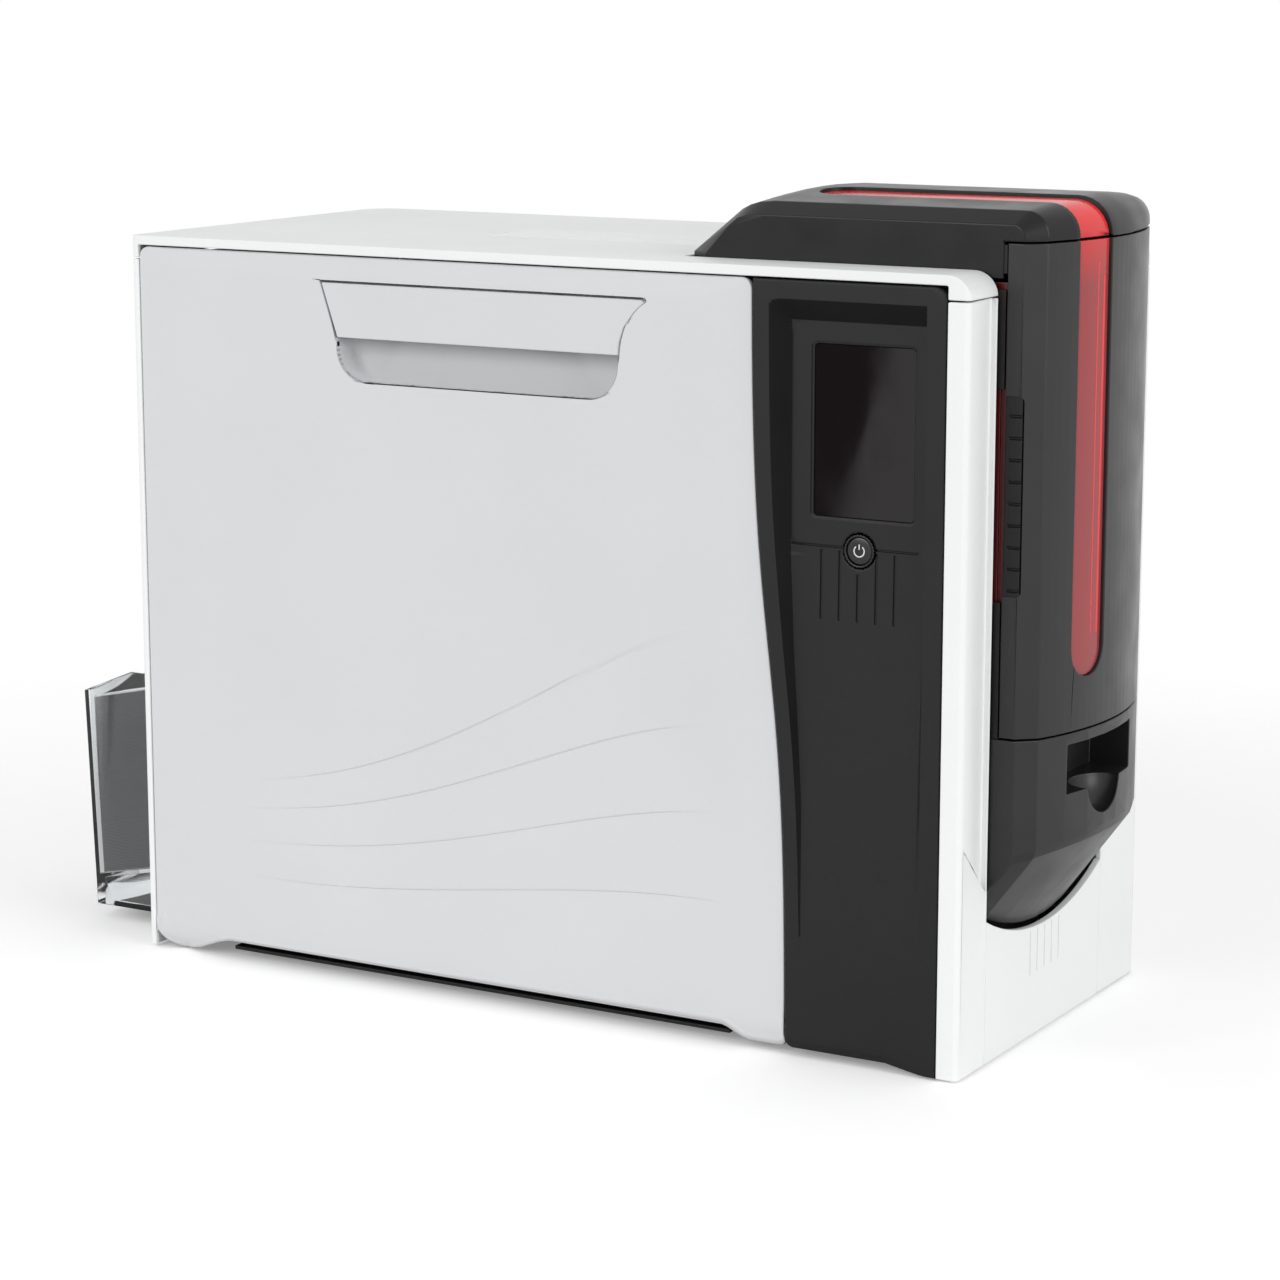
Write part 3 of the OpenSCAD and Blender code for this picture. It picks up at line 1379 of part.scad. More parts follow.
// Thermal head on its arm, hung from a pivot shaft in the chassis.
module printhead() {
    hx = x_platen + platen_r + 2.4;
    color("#8f9498") {
        // ceramic head and its heat sink
        span([hx, path_y - 30, z_platen - 9], [hx + 3, path_y + 30, z_platen + 9]);
        span([hx + 3 - eps, path_y - 32, z_platen - 10], [hx + 8, path_y + 32, z_platen + 12]);
        for (i = [0 : 6]) span([hx + 8 - eps, path_y - 30 + i * 9.5, z_platen - 8],
            [hx + 13, path_y - 27 + i * 9.5, z_platen + 10]);
        // arms to the pivot
        for (y = [path_y - 35, path_y + 32]) along_y(y, y + 3)
            strip([hx + 5, z_platen + 6], [head_x, head_z], 7);
        y_rod(head_x, head_z, 4.6, path_y - 35, path_y + 35);
        y_rod(head_x, head_z, shaft_r, path_y + 35 - eps, chassis_y + plate_t + 2);
    }
}

// ---------------------------------------------------------------- electronics

module main_board() {
    y0 = y_b - wall - 16;
    color("#1f5f38") {
        span([x_f - 190, y0, 70], [x_f - 60, y0 + 1.6, 250]);
        // processor, connectors and capacitors
        span([x_f - 150, y0 - 3, 150], [x_f - 120, y0 + eps, 180]);
        for (i = [0 : 4]) span([x_f - 180 + i * 22, y0 - 8, 80], [x_f - 166 + i * 22, y0 + eps, 90]);
        for (i = [0 : 3]) y_rod(x_f - 80, 110 + i * 18, 5, y0 - 12, y0 + eps);
        // spacers to the bracket behind
        for (x = [x_f - 185, x_f - 65], z = [75, 245]) y_rod(x, z, 2.5, y0 + 1.6 - eps, y_b - wall);
    }
}

module power_supply() {
    y0 = chassis_y + flange_w + supply_gap;
    z0 = foot_h + tray_t;
    color("#a8abad") difference() {
        span([x_r + 52, y0, z0], [x_r + 172, y_b - wall - 9, z0 + 58]);
        for (i = [0 : 7]) span([x_r + 62 + i * 13, y0 + 8, z0 + 56], [x_r + 67 + i * 13, y_b - 20, z0 + 59]);
    }
}

// Panel with the network, serial and power sockets, behind the rear cover's cut-out.
module io_panel() {
    x0 = x_r + wall;
    zc = (io_z0 + io_z1) / 2;
    color("#3a3c3e") difference() {
        union() {
            span([x0, io_y0 - 4, io_z0 - 4], [x0 + 2, io_y1 + 4, io_z1 + 4]);
            // body of the power inlet and of the two sockets
            span([x0 + 2 - eps, io_y1 - inlet_w - 6, zc - inlet_h / 2 - 3], [x0 + 24, io_y1 - 3, zc + inlet_h / 2 + 3]);
            span([x0 + 2 - eps, io_y0 + 3, io_z0 + 4], [x0 + 18, io_y0 + 23, io_z0 + 21]);
            span([x0 + 2 - eps, io_y0 + 3, io_z0 + 30], [x0 + 18, io_y0 + 19, io_z0 + 45]);
        }
        along_x(x0 - 1, x0 + 20) round_rect(io_y1 - inlet_w - 3, zc - inlet_h / 2, io_y1 - 6, zc + inlet_h / 2, 4);
        span([x0 - 1, io_y0 + 5, io_z0 + 6], [x0 + 15, io_y0 + 21, io_z0 + 19]);
        span([x0 - 1, io_y0 + 5, io_z0 + 32], [x0 + 15, io_y0 + 17, io_z0 + 43]);
    }
    // three flat contact blades in the inlet
    color("#3a3c3e") for (d = [[-7, -2], [0, 3], [7, -2]])
        span([x0 + 6, io_y1 - inlet_w / 2 - 4.5 + d[0] - 1, zc + d[1] - 2],
            [x0 + 20 + eps, io_y1 - inlet_w / 2 - 4.5 + d[0] + 1, zc + d[1] + 2]);
}

module cooling_fan() {
    h = fan_size / 2;
    color("#1b1b1b") difference() {
        span([fan_x, fan_y - h, fan_z - h], [fan_x + fan_t, fan_y + h, fan_z + h]);
        x_rod(fan_y, fan_z, fan_rotor_r + 1.2, fan_x - 1, fan_x + fan_t - 2);
        x_rod(fan_y, fan_z, 2.06, fan_x - 1, fan_x + fan_t + 1);
        difference() {
            x_rod(fan_y, fan_z, fan_rotor_r + 1.2, fan_x + fan_t - 3, fan_x + fan_t + 1);
            x_rod(fan_y, fan_z, 12, fan_x + fan_t - 4, fan_x + fan_t + 2);
            for (a = [0 : 3]) translate([fan_x, fan_y, fan_z]) rotate([45 + a * 90, 0, 0])
                span([fan_t - 4, -1.5, 0], [fan_t + 2, 1.5, 40]);
        }
    }
}

module fan_rotor() {
    color("#2a2a2a") {
        x_rod(fan_y, fan_z, 10, fan_x + 2, fan_x + fan_t - 3);
        x_rod(fan_y, fan_z, 2, fan_x + fan_t - 3 - eps, fan_x + fan_t - 0.5);
        for (i = [0 : 6]) translate([0, fan_y, fan_z]) rotate([i * 360 / 7, 0, 0])
            translate([fan_x + 6.5, 0, 9]) rotate([0, 0, 35])
                span([-5, -0.8, 0], [5, 0.8, fan_rotor_r - 10]);
    }
}

// ---------------------------------------------------------------- output hopper

// X of the hopper's leaning outer face at height z.
function hopper_x(z) = x_r - hopper_out + tan(hopper_lean) * (hopper_top - z);

// Side view of the hopper's outside.
module hopper_side() {
    x1 = x_r + hopper_in;
    z1 = foot_h + tray_t + hopper_lift;
    xe = hopper_x(hopper_low) + hopper_end_l;
    polygon([[hopper_x(hopper_low), hopper_low], [x_r - hopper_out, hopper_top],
        [x_r - hopper_rise_x, hopper_rise_z], [x1, hopper_rise_z], [x1, z1], [xe, z1],
        [xe, hopper_low]]);
}

module output_hopper() {
    x1 = x_r + hopper_in - hopper_wall;
    x0 = hopper_x(hopper_floor) + hopper_wall;
    k = tan(hopper_slope);
    y0 = path_y - hopper_hw + hopper_wall;
    y1 = path_y + hopper_hw - hopper_wall;
    color("#e8eef2") difference() {
        along_y(path_y - hopper_hw, path_y + hopper_hw) hopper_side();
        along_y(y0, y1) polygon([[x0, hopper_floor], [hopper_x(160) + hopper_wall, 160],
            [x1, 160], [x1, hopper_floor + (x1 - x0) * k]]);
        // hollow under the sloping floor
        along_y(y0, y1) polygon([[x0 + 3, 0], [x1 - 1, 0], [x1 - 1, hopper_floor - 2 + (x1 - 1 - x0) * k],
            [x0 + 3, hopper_floor - 2 + 3 * k]]);
    }
}

// Stack that leans on the outer wall and lies on the sloping floor.
module printed_cards() {
    z0 = hopper_floor + 0.6;
    x0 = hopper_x(hopper_floor) + hopper_wall + stack_gap;
    c = card_l * cos(hopper_slope);
    lean = out_stack_h * tan(hopper_lean);
    rise = c * tan(hopper_slope);
    color("#6a6c6e") along_y(path_y - card_w / 2, path_y + card_w / 2)
        polygon([[x0, z0], [x0 + c, z0 + rise], [x0 + c - lean, z0 + rise + out_stack_h],
            [x0 - lean, z0 + out_stack_h]]);
}

// ---------------------------------------------------------------- assembly

base_tray();
rubber_feet();
rear_cover();
far_side_cover();
front_cover();
front_insert();
top_cover();
control_panel();
display_glass();
display_module();
power_button();
button_ring();
button_board();
side_door();
door_hinge_pins();
handle_flap();
handle_pin();
latch_bar();
feeder_frame();
feeder_chin();
feeder_hood();
hood_window();
hood_hinge_pin();
front_door_cover();
front_window();
front_hinge_pin();
card_magazine();
magazine_grip();
thickness_dial();
blank_cards();
card_weight();
pick_roller();
card_guides();
path_roller_front();
path_roller_rear();
pinch_roller_front();
pinch_roller_rear();
chassis_plate();
bearing_plate();
ribbon_cassette();
ribbon_supply_spool();
ribbon_takeup_spool();
ribbon_web();
film_supply_spool();
film_takeup_spool();
film_web();
platen_roller();
printhead();
transfer_roller();
pressure_roller();
motor_bracket();
drive_motors();
drive_pinion();
main_board();
power_supply();
io_panel();
cooling_fan();
fan_rotor();
output_hopper();
printed_cards();
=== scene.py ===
"""Looks of an id card printer: its covers, feeder, hopper and works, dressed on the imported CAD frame.

Everything is in metres in the CAD frame: +X is the feeder end, -Y the door side and +Z up.
"""

import json
import logging
import math
from dataclasses import dataclass
from enum import Enum

import bmesh
import bpy
import numpy as np
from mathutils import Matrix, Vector

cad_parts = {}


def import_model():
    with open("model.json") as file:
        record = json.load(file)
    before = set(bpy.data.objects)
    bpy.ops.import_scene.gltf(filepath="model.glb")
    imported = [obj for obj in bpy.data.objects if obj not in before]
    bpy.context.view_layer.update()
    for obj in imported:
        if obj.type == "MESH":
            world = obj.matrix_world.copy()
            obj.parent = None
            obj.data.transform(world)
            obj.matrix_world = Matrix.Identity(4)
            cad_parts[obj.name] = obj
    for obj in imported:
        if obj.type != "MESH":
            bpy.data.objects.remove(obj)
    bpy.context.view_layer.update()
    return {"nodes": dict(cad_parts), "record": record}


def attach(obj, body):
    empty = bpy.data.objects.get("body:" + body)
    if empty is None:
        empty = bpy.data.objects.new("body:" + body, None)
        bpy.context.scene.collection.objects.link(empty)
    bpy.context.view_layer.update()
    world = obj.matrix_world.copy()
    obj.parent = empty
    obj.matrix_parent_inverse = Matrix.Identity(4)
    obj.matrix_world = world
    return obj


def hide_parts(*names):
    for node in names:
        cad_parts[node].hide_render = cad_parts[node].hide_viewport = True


log = logging.getLogger("card_printer")
MM = 0.001
SMOOTH_UP_TO = 34.0  # degrees
SAME_POINT = 3e-6


# ---------------------------------------------------------------- colours and node helpers


def tone(red: float, green: float, blue: float) -> tuple[float, float, float, float]:
    """Turns an sRGB colour into the linear one that a shader socket takes.

    Args:
        red: Red, from 0 to 255.
        green: Green, from 0 to 255.
        blue: Blue, from 0 to 255.

    Returns:
        The linear colour with an alpha of 1.
    """
    part = np.array([red, green, blue], float) / 255
    linear = np.where(part <= 0.04045, part / 12.92, ((part + 0.055) / 1.055) ** 2.4)
    return (*linear.tolist(), 1.0)


def shade(colour: tuple[float, float, float], factor: float,
          lift: float = 0.0) -> tuple[float, float, float, float]:
    """The linear colour of an sRGB one whose parts are multiplied by a factor and lifted."""
    return tone(*np.clip(np.array(colour, float) * factor + lift, 0, 255))


class NodeSheet:
    """A material's node tree, with short calls that add and join its nodes."""

    def __init__(self, name: str) -> None:
        """Makes an empty material.

        Args:
            name: Name of the material.
        """
        self.material = bpy.data.materials.new(name)
        self.material.use_nodes = True
        self.tree = self.material.node_tree
        self.tree.nodes.clear()
        self.output = self.tree.nodes.new("ShaderNodeOutputMaterial")
        self.place = self.tree.nodes.new("ShaderNodeTexCoord").outputs["Object"]
        self.surface = self.tree.nodes.new("ShaderNodeBsdfPrincipled")
        self.join(self.surface.outputs["BSDF"], self.output.inputs["Surface"])

    def add(self, kind: str, **settings: object) -> bpy.types.Node:
        """Adds a node.

        Args:
            kind: Blender's name for the node.
            **settings: Properties of the node.

        Returns:
            The node.
        """
        node = self.tree.nodes.new(kind)
        for key, value in settings.items():
            setattr(node, key, value)
        return node

    def join(self, start: bpy.types.NodeSocket, end: bpy.types.NodeSocket) -> None:
        """Joins an output to an input."""
        self.tree.links.new(start, end)

    def mapped(self, scale: tuple[float, float, float], turn: tuple[float, float, float] = (0, 0, 0),
               shift: tuple[float, float, float] = (0, 0, 0)) -> bpy.types.NodeSocket:
        """Object coordinates, turned, stretched and moved.

        Args:
            scale: Stretch along each axis.
            turn: Turn about each axis, in degrees.
            shift: Move along each axis, after the stretch.

        Returns:
            The coordinates as an output.
        """
        node = self.add("ShaderNodeMapping")
        node.inputs["Scale"].default_value = scale
        node.inputs["Rotation"].default_value = tuple(math.radians(a) for a in turn)
        node.inputs["Location"].default_value = shift
        self.join(self.place, node.inputs["Vector"])
        return node.outputs["Vector"]

    def noise(self, scale: float, detail: float = 2.0, at: bpy.types.NodeSocket | None = None,
              roughness: float = 0.5) -> bpy.types.NodeSocket:
        """Noise over the object.

        Args:
            scale: Spots per metre.
            detail: Number of finer layers.
            at: Coordinates, or None for plain object coordinates.
            roughness: Weight of the finer layers.

        Returns:
            The noise from 0 to 1 as an output.
        """
        node = self.add("ShaderNodeTexNoise")
        node.inputs["Scale"].default_value = scale
        node.inputs["Detail"].default_value = detail
        node.inputs["Roughness"].default_value = roughness
        self.join(at or self.place, node.inputs["Vector"])
        return node.outputs["Fac"]

    def ramp(self, value: bpy.types.NodeSocket, low: float, high: float, to_low: float,
             to_high: float) -> bpy.types.NodeSocket:
        """Maps a value's range onto another, held at its ends.

        Args:
            value: The value.
            low: Its lower end.
            high: Its upper end.
            to_low: What the lower end becomes.
            to_high: What the upper end becomes.

        Returns:
            The mapped value as an output.
        """
        node = self.add("ShaderNodeMapRange", clamp=True)
        for key, number in zip(("From Min", "From Max", "To Min", "To Max"), (low, high, to_low, to_high)):
            node.inputs[key].default_value = number
        self.join(value, node.inputs["Value"])
        return node.outputs["Result"]

    def math(self, how: str, first: bpy.types.NodeSocket | float,
             second: bpy.types.NodeSocket | float = 0.0) -> bpy.types.NodeSocket:
        """Does sums on two values.

        Args:
            how: Blender's name for the operation.
            first: First value, an output or a number.
            second: Second value, an output or a number.

        Returns:
            The result as an output.
        """
        node = self.add("ShaderNodeMath", operation=how)
        for slot, value in zip(node.inputs, (first, second)):
            if isinstance(value, (int, float)):
                slot.default_value = value
            else:
                self.join(value, slot)
        return node.outputs["Value"]

    def axes(self) -> tuple[bpy.types.NodeSocket, bpy.types.NodeSocket, bpy.types.NodeSocket]:
        """Object coordinates as three separate outputs."""
        node = self.add("ShaderNodeSeparateXYZ")
        self.join(self.place, node.inputs["Vector"])
        return node.outputs["X"], node.outputs["Y"], node.outputs["Z"]

    def blend(self, share: bpy.types.NodeSocket, first: object, second: object) -> bpy.types.NodeSocket:
        """Mixes two colours.

        Args:
            share: Share of the second colour, as an output.
            first: First colour, as an output or four numbers.
            second: Second colour, as an output or four numbers.

        Returns:
            The mixed colour as an output.
        """
        node = self.add("ShaderNodeMix", data_type="RGBA")
        self.join(share, node.inputs[0])
        for slot, value in ((node.inputs[6], first), (node.inputs[7], second)):
            if isinstance(value, tuple):
                slot.default_value = value
            else:
                self.join(value, slot)
        return node.outputs[2]

    def bump(self, height: bpy.types.NodeSocket, depth: float,
             under: bpy.types.NodeSocket | None = None) -> bpy.types.NodeSocket:
        """Turns a height into a normal.

        Args:
            height: Height from 0 to 1.
            depth: What a height of 1 stands for, in metres.
            under: A normal that this one is laid on.

        Returns:
            The normal as an output.
        """
        node = self.add("ShaderNodeBump")
        node.inputs["Strength"].default_value = 1.0
        node.inputs["Distance"].default_value = depth
        self.join(height, node.inputs["Height"])
        if under is not None:
            self.join(under, node.inputs["Normal"])
        return node.outputs["Normal"]

    def uneven(self, scale: float, detail: float, low: float, high: float) -> bpy.types.NodeSocket:
        """Noise of a scale and detail, its middle range spread from low to high."""
        return self.ramp(self.noise(scale, detail), 0.3, 0.7, low, high)

    def weigh(self, first: bpy.types.NodeSocket, second: bpy.types.NodeSocket,
              share: float) -> bpy.types.NodeSocket:
        """A share of the first value plus the rest of the second."""
        return self.math("ADD", self.math("MULTIPLY", first, share), self.math("MULTIPLY", second, 1 - share))

    def set(self, **values: object) -> None:
        """Sets sockets of the surface shader; a name's underscores stand for spaces."""
        for key, value in values.items():
            self.surface.inputs[key.replace("_", " ")].default_value = value

    def feed(self, **outputs: bpy.types.NodeSocket) -> None:
        """Joins outputs to sockets of the surface shader; a name's underscores stand for spaces."""
        for key, output in outputs.items():
            self.join(output, self.surface.inputs[key.replace("_", " ")])


# ---------------------------------------------------------------- finishes


@dataclass(frozen=True)
class Moulded:
    """Moulded plastic with a fine eroded grain, slight flow marks and uneven gloss."""

    name: str
    colour: tuple[float, float, float]
    gloss: float = 0.42
    gloss_swing: float = 0.06
    grain: float = 2600.0
    grain_depth: float = 0.00004
    mottle: float = 0.02
    shine: float = 0.5
    lines: tuple[float, ...] = ()

    def make(self) -> bpy.types.Material:
        """Builds the material: grain and seam lines as bump, cloudy mottling in the colour and the roughness."""
        sheet = NodeSheet(self.name)
        sheet.set(IOR=1.5, Specular_IOR_Level=self.shine)
        both = sheet.weigh(sheet.noise(9.0, 4.0), sheet.noise(420.0, 2.0), 0.75)
        normal = sheet.bump(sheet.noise(self.grain, 1.0), self.grain_depth)
        _, across, _ = sheet.axes()
        for line in self.lines:
            away = sheet.math("ABSOLUTE", sheet.math("SUBTRACT", across, line))
            normal = sheet.bump(sheet.ramp(away, 0.0002, 0.0009, 0, 1), 0.0003, normal)
        dark, light = shade(self.colour, 1 - self.mottle), shade(self.colour, 1 + self.mottle)
        sheet.feed(Base_Color=sheet.blend(sheet.ramp(both, 0.36, 0.64, 0, 1), dark, light),
                   Roughness=sheet.uneven(38.0, 3.0, self.gloss - self.gloss_swing, self.gloss + self.gloss_swing),
                   Normal=normal)
        return sheet.material


@dataclass(frozen=True)
class Metal:
    """Bare metal, drawn or brushed along one axis, with light scuffs."""

    name: str
    colour: tuple[float, float, float]
    gloss: float = 0.32
    brush: tuple[float, float, float] = (60.0, 2200.0, 2200.0)
    depth: float = 0.000015

    def make(self) -> bpy.types.Material:
        """Builds the material: noise stretched along the brushing for bump, tone and roughness."""
        sheet = NodeSheet(self.name)
        sheet.set(Metallic=1.0)
        hair = sheet.noise(1.0, 3.0, sheet.mapped(self.brush))
        scuff = sheet.noise(60.0, 5.0)
        both = sheet.weigh(hair, scuff, 0.6)
        sheet.feed(Base_Color=sheet.blend(scuff, shade(self.colour, 0.95), shade(self.colour, 1.03)),
                   Roughness=sheet.ramp(both, 0.3, 0.7, self.gloss - 0.05, self.gloss + 0.06),
                   Normal=sheet.bump(hair, self.depth))
        return sheet.material


@dataclass(frozen=True)
class Rubber:
    """Rubber with a dusty bloom and a ground surface."""

    name: str
    colour: tuple[float, float, float]
    gloss: float = 0.72
    grain: float = 1500.0

    def make(self) -> bpy.types.Material:
        """Builds the material: two scales of bump and a paler bloom where the noise is high."""
        sheet = NodeSheet(self.name)
        sheet.set(Specular_IOR_Level=0.35)
        bloom = sheet.ramp(sheet.noise(70.0, 4.0), 0.45, 0.75, 0, 1)
        coarse = sheet.bump(sheet.noise(260.0, 3.0), 0.00005)
        sheet.feed(Base_Color=sheet.blend(bloom, shade(self.colour, 1.0), shade(self.colour, 1.25, 6.0)),
                   Roughness=sheet.uneven(120.0, 2.0, self.gloss - 0.08, self.gloss + 0.08),
                   Normal=sheet.bump(sheet.noise(self.grain, 2.0), 0.00005, coarse))
        return sheet.material


@dataclass(frozen=True)
class Glazing:
    """Hard clear or tinted plastic or glass, with faint smears."""

    name: str
    colour: tuple[float, float, float]
    clear: float
    gloss: float = 0.06
    ior: float = 1.49

    def make(self) -> bpy.types.Material:
        """Builds the material: smears in the roughness, a faint tint change, long shallow flow in the bump."""
        sheet = NodeSheet(self.name)
        sheet.set(IOR=self.ior, Transmission_Weight=self.clear)
        smear = sheet.noise(1.0, 5.0, sheet.mapped((55.0, 22.0, 30.0), (0, 25, 0)))
        tint = sheet.blend(sheet.noise(15.0, 3.0), shade(self.colour, 0.97), shade(self.colour, 1.02))
        sheet.feed(Base_Color=tint, Roughness=sheet.ramp(smear, 0.4, 0.75, self.gloss, self.gloss + 0.07),
                   Normal=sheet.bump(sheet.noise(24.0, 1.0), 0.00004))
        return sheet.material


@dataclass(frozen=True)
class Board:
    """Printed circuit board: green mask over tracks, with rows of pads and parts."""

    name: str

    def make(self) -> bpy.types.Material:
        """Builds the material: a brick pattern for parts, thin waves for tracks, dots for plated holes."""
        sheet = NodeSheet(self.name)
        sheet.set(Coat_Weight=0.4, Coat_Roughness=0.2)
        tracks = sheet.add("ShaderNodeTexBrick", offset=0.35, squash=0.6)
        for key, value in (("Scale", 1.0), ("Mortar Size", 0.09), ("Brick Width", 0.9), ("Row Height", 0.22)):
            tracks.inputs[key].default_value = value
        for key, value in (("Color1", (20, 92, 52)), ("Color2", (24, 84, 50)), ("Mortar", (46, 124, 78))):
            tracks.inputs[key].default_value = tone(*value)
        sheet.join(sheet.mapped((190.0, 190.0, 190.0), (90, 0, 0)), tracks.inputs["Vector"])
        holes = sheet.add("ShaderNodeTexVoronoi")
        holes.inputs["Scale"].default_value = 260.0
        sheet.join(sheet.place, holes.inputs["Vector"])
        dots = sheet.ramp(holes.outputs["Distance"], 0.16, 0.2, 1, 0)
        sheet.feed(Base_Color=sheet.blend(dots, tracks.outputs["Color"], tone(206, 186, 120)),
                   Roughness=sheet.uneven(80.0, 2.0, 0.3, 0.45), Normal=sheet.bump(tracks.outputs["Fac"], 0.00003))
        return sheet.material


@dataclass(frozen=True)
class Web:
    """Thin film or ribbon: shiny, with bands of colour across its length."""

    name: str
    bands: tuple[tuple[float, float, float], ...]
    pitch: float = 0.09
    gloss: float = 0.16

    def make(self) -> bpy.types.Material:
        """Builds the material: bands that follow the height, each softly edged, with fine wrinkles."""
        sheet = NodeSheet(self.name)
        sheet.set(Coat_Weight=0.5, Coat_Roughness=0.1)
        _, _, up = sheet.axes()
        turn = sheet.math("FRACT", sheet.math("DIVIDE", up, self.pitch))
        colour: object = tone(*self.bands[0])
        for k, band in enumerate(self.bands[1:], 1):
            edge = k / len(self.bands)
            colour = sheet.blend(sheet.ramp(turn, edge - 0.01, edge + 0.01, 0, 1), colour, tone(*band))
        wrinkle = sheet.noise(1.0, 3.0, sheet.mapped((30.0, 260.0, 30.0)))
        sheet.feed(Base_Color=colour, Roughness=sheet.uneven(90.0, 3.0, self.gloss, self.gloss + 0.12),
                   Normal=sheet.bump(wrinkle, 0.00006))
        return sheet.material


@dataclass(frozen=True)
class WindowRed:
    """Tinted red window, painted paler where it turns over the top of the hood: a painted highlight of the light
    that falls through it.
    """

    name: str
    # Heights in metres between which the painted highlight brightens the red.
    low: float = 0.342
    high: float = 0.372

    def make(self) -> bpy.types.Material:
        """Builds the material: a painted highlight that brightens the red with the height, with faint flow in the
        roughness and the bump.
        """
        sheet = NodeSheet(self.name)
        sheet.set(IOR=1.45, Transmission_Weight=0.1, Specular_IOR_Level=0.4)
        _, _, up = sheet.axes()
        # Painted highlight: the red is lighter towards the top of the hood, where the light falls.
        tint = sheet.blend(sheet.ramp(up, self.low, self.high, 0, 1), tone(164, 72, 74), tone(252, 58, 60))
        sheet.feed(Base_Color=sheet.blend(sheet.uneven(18.0, 2.0, 0, 0.2), tint, tone(200, 40, 44)),
                   Roughness=sheet.uneven(30.0, 3.0, 0.14, 0.22),
                   Normal=sheet.bump(sheet.noise(24.0, 1.0), 0.00004))
        return sheet.material


@dataclass(frozen=True)
class CardFace:
    """Face of a printed card: white laminate with plain slanting bands of sea green and orange."""

    name: str

    def make(self) -> bpy.types.Material:
        """Builds the material: bands across a slanting line, faint smears in the roughness."""
        sheet = NodeSheet(self.name)
        sheet.set(Coat_Weight=0.6, Coat_Roughness=0.08)
        along_x, across, _ = sheet.axes()
        slant = sheet.math("ADD", along_x, sheet.math("MULTIPLY", across, 0.55))
        wave = sheet.math("ADD", slant, sheet.math("MULTIPLY", sheet.noise(24.0), 0.012))
        colour: object = tone(240, 240, 238)
        for start, band in ((-0.2215, (232, 130, 60)), (-0.2165, (238, 240, 240)), (-0.211, (30, 190, 160))):
            colour = sheet.blend(sheet.ramp(wave, start, start + 0.0005, 0, 1), colour, tone(*band))
        sheet.feed(Base_Color=colour, Roughness=sheet.uneven(50.0, 3.0, 0.12, 0.24))
        return sheet.material


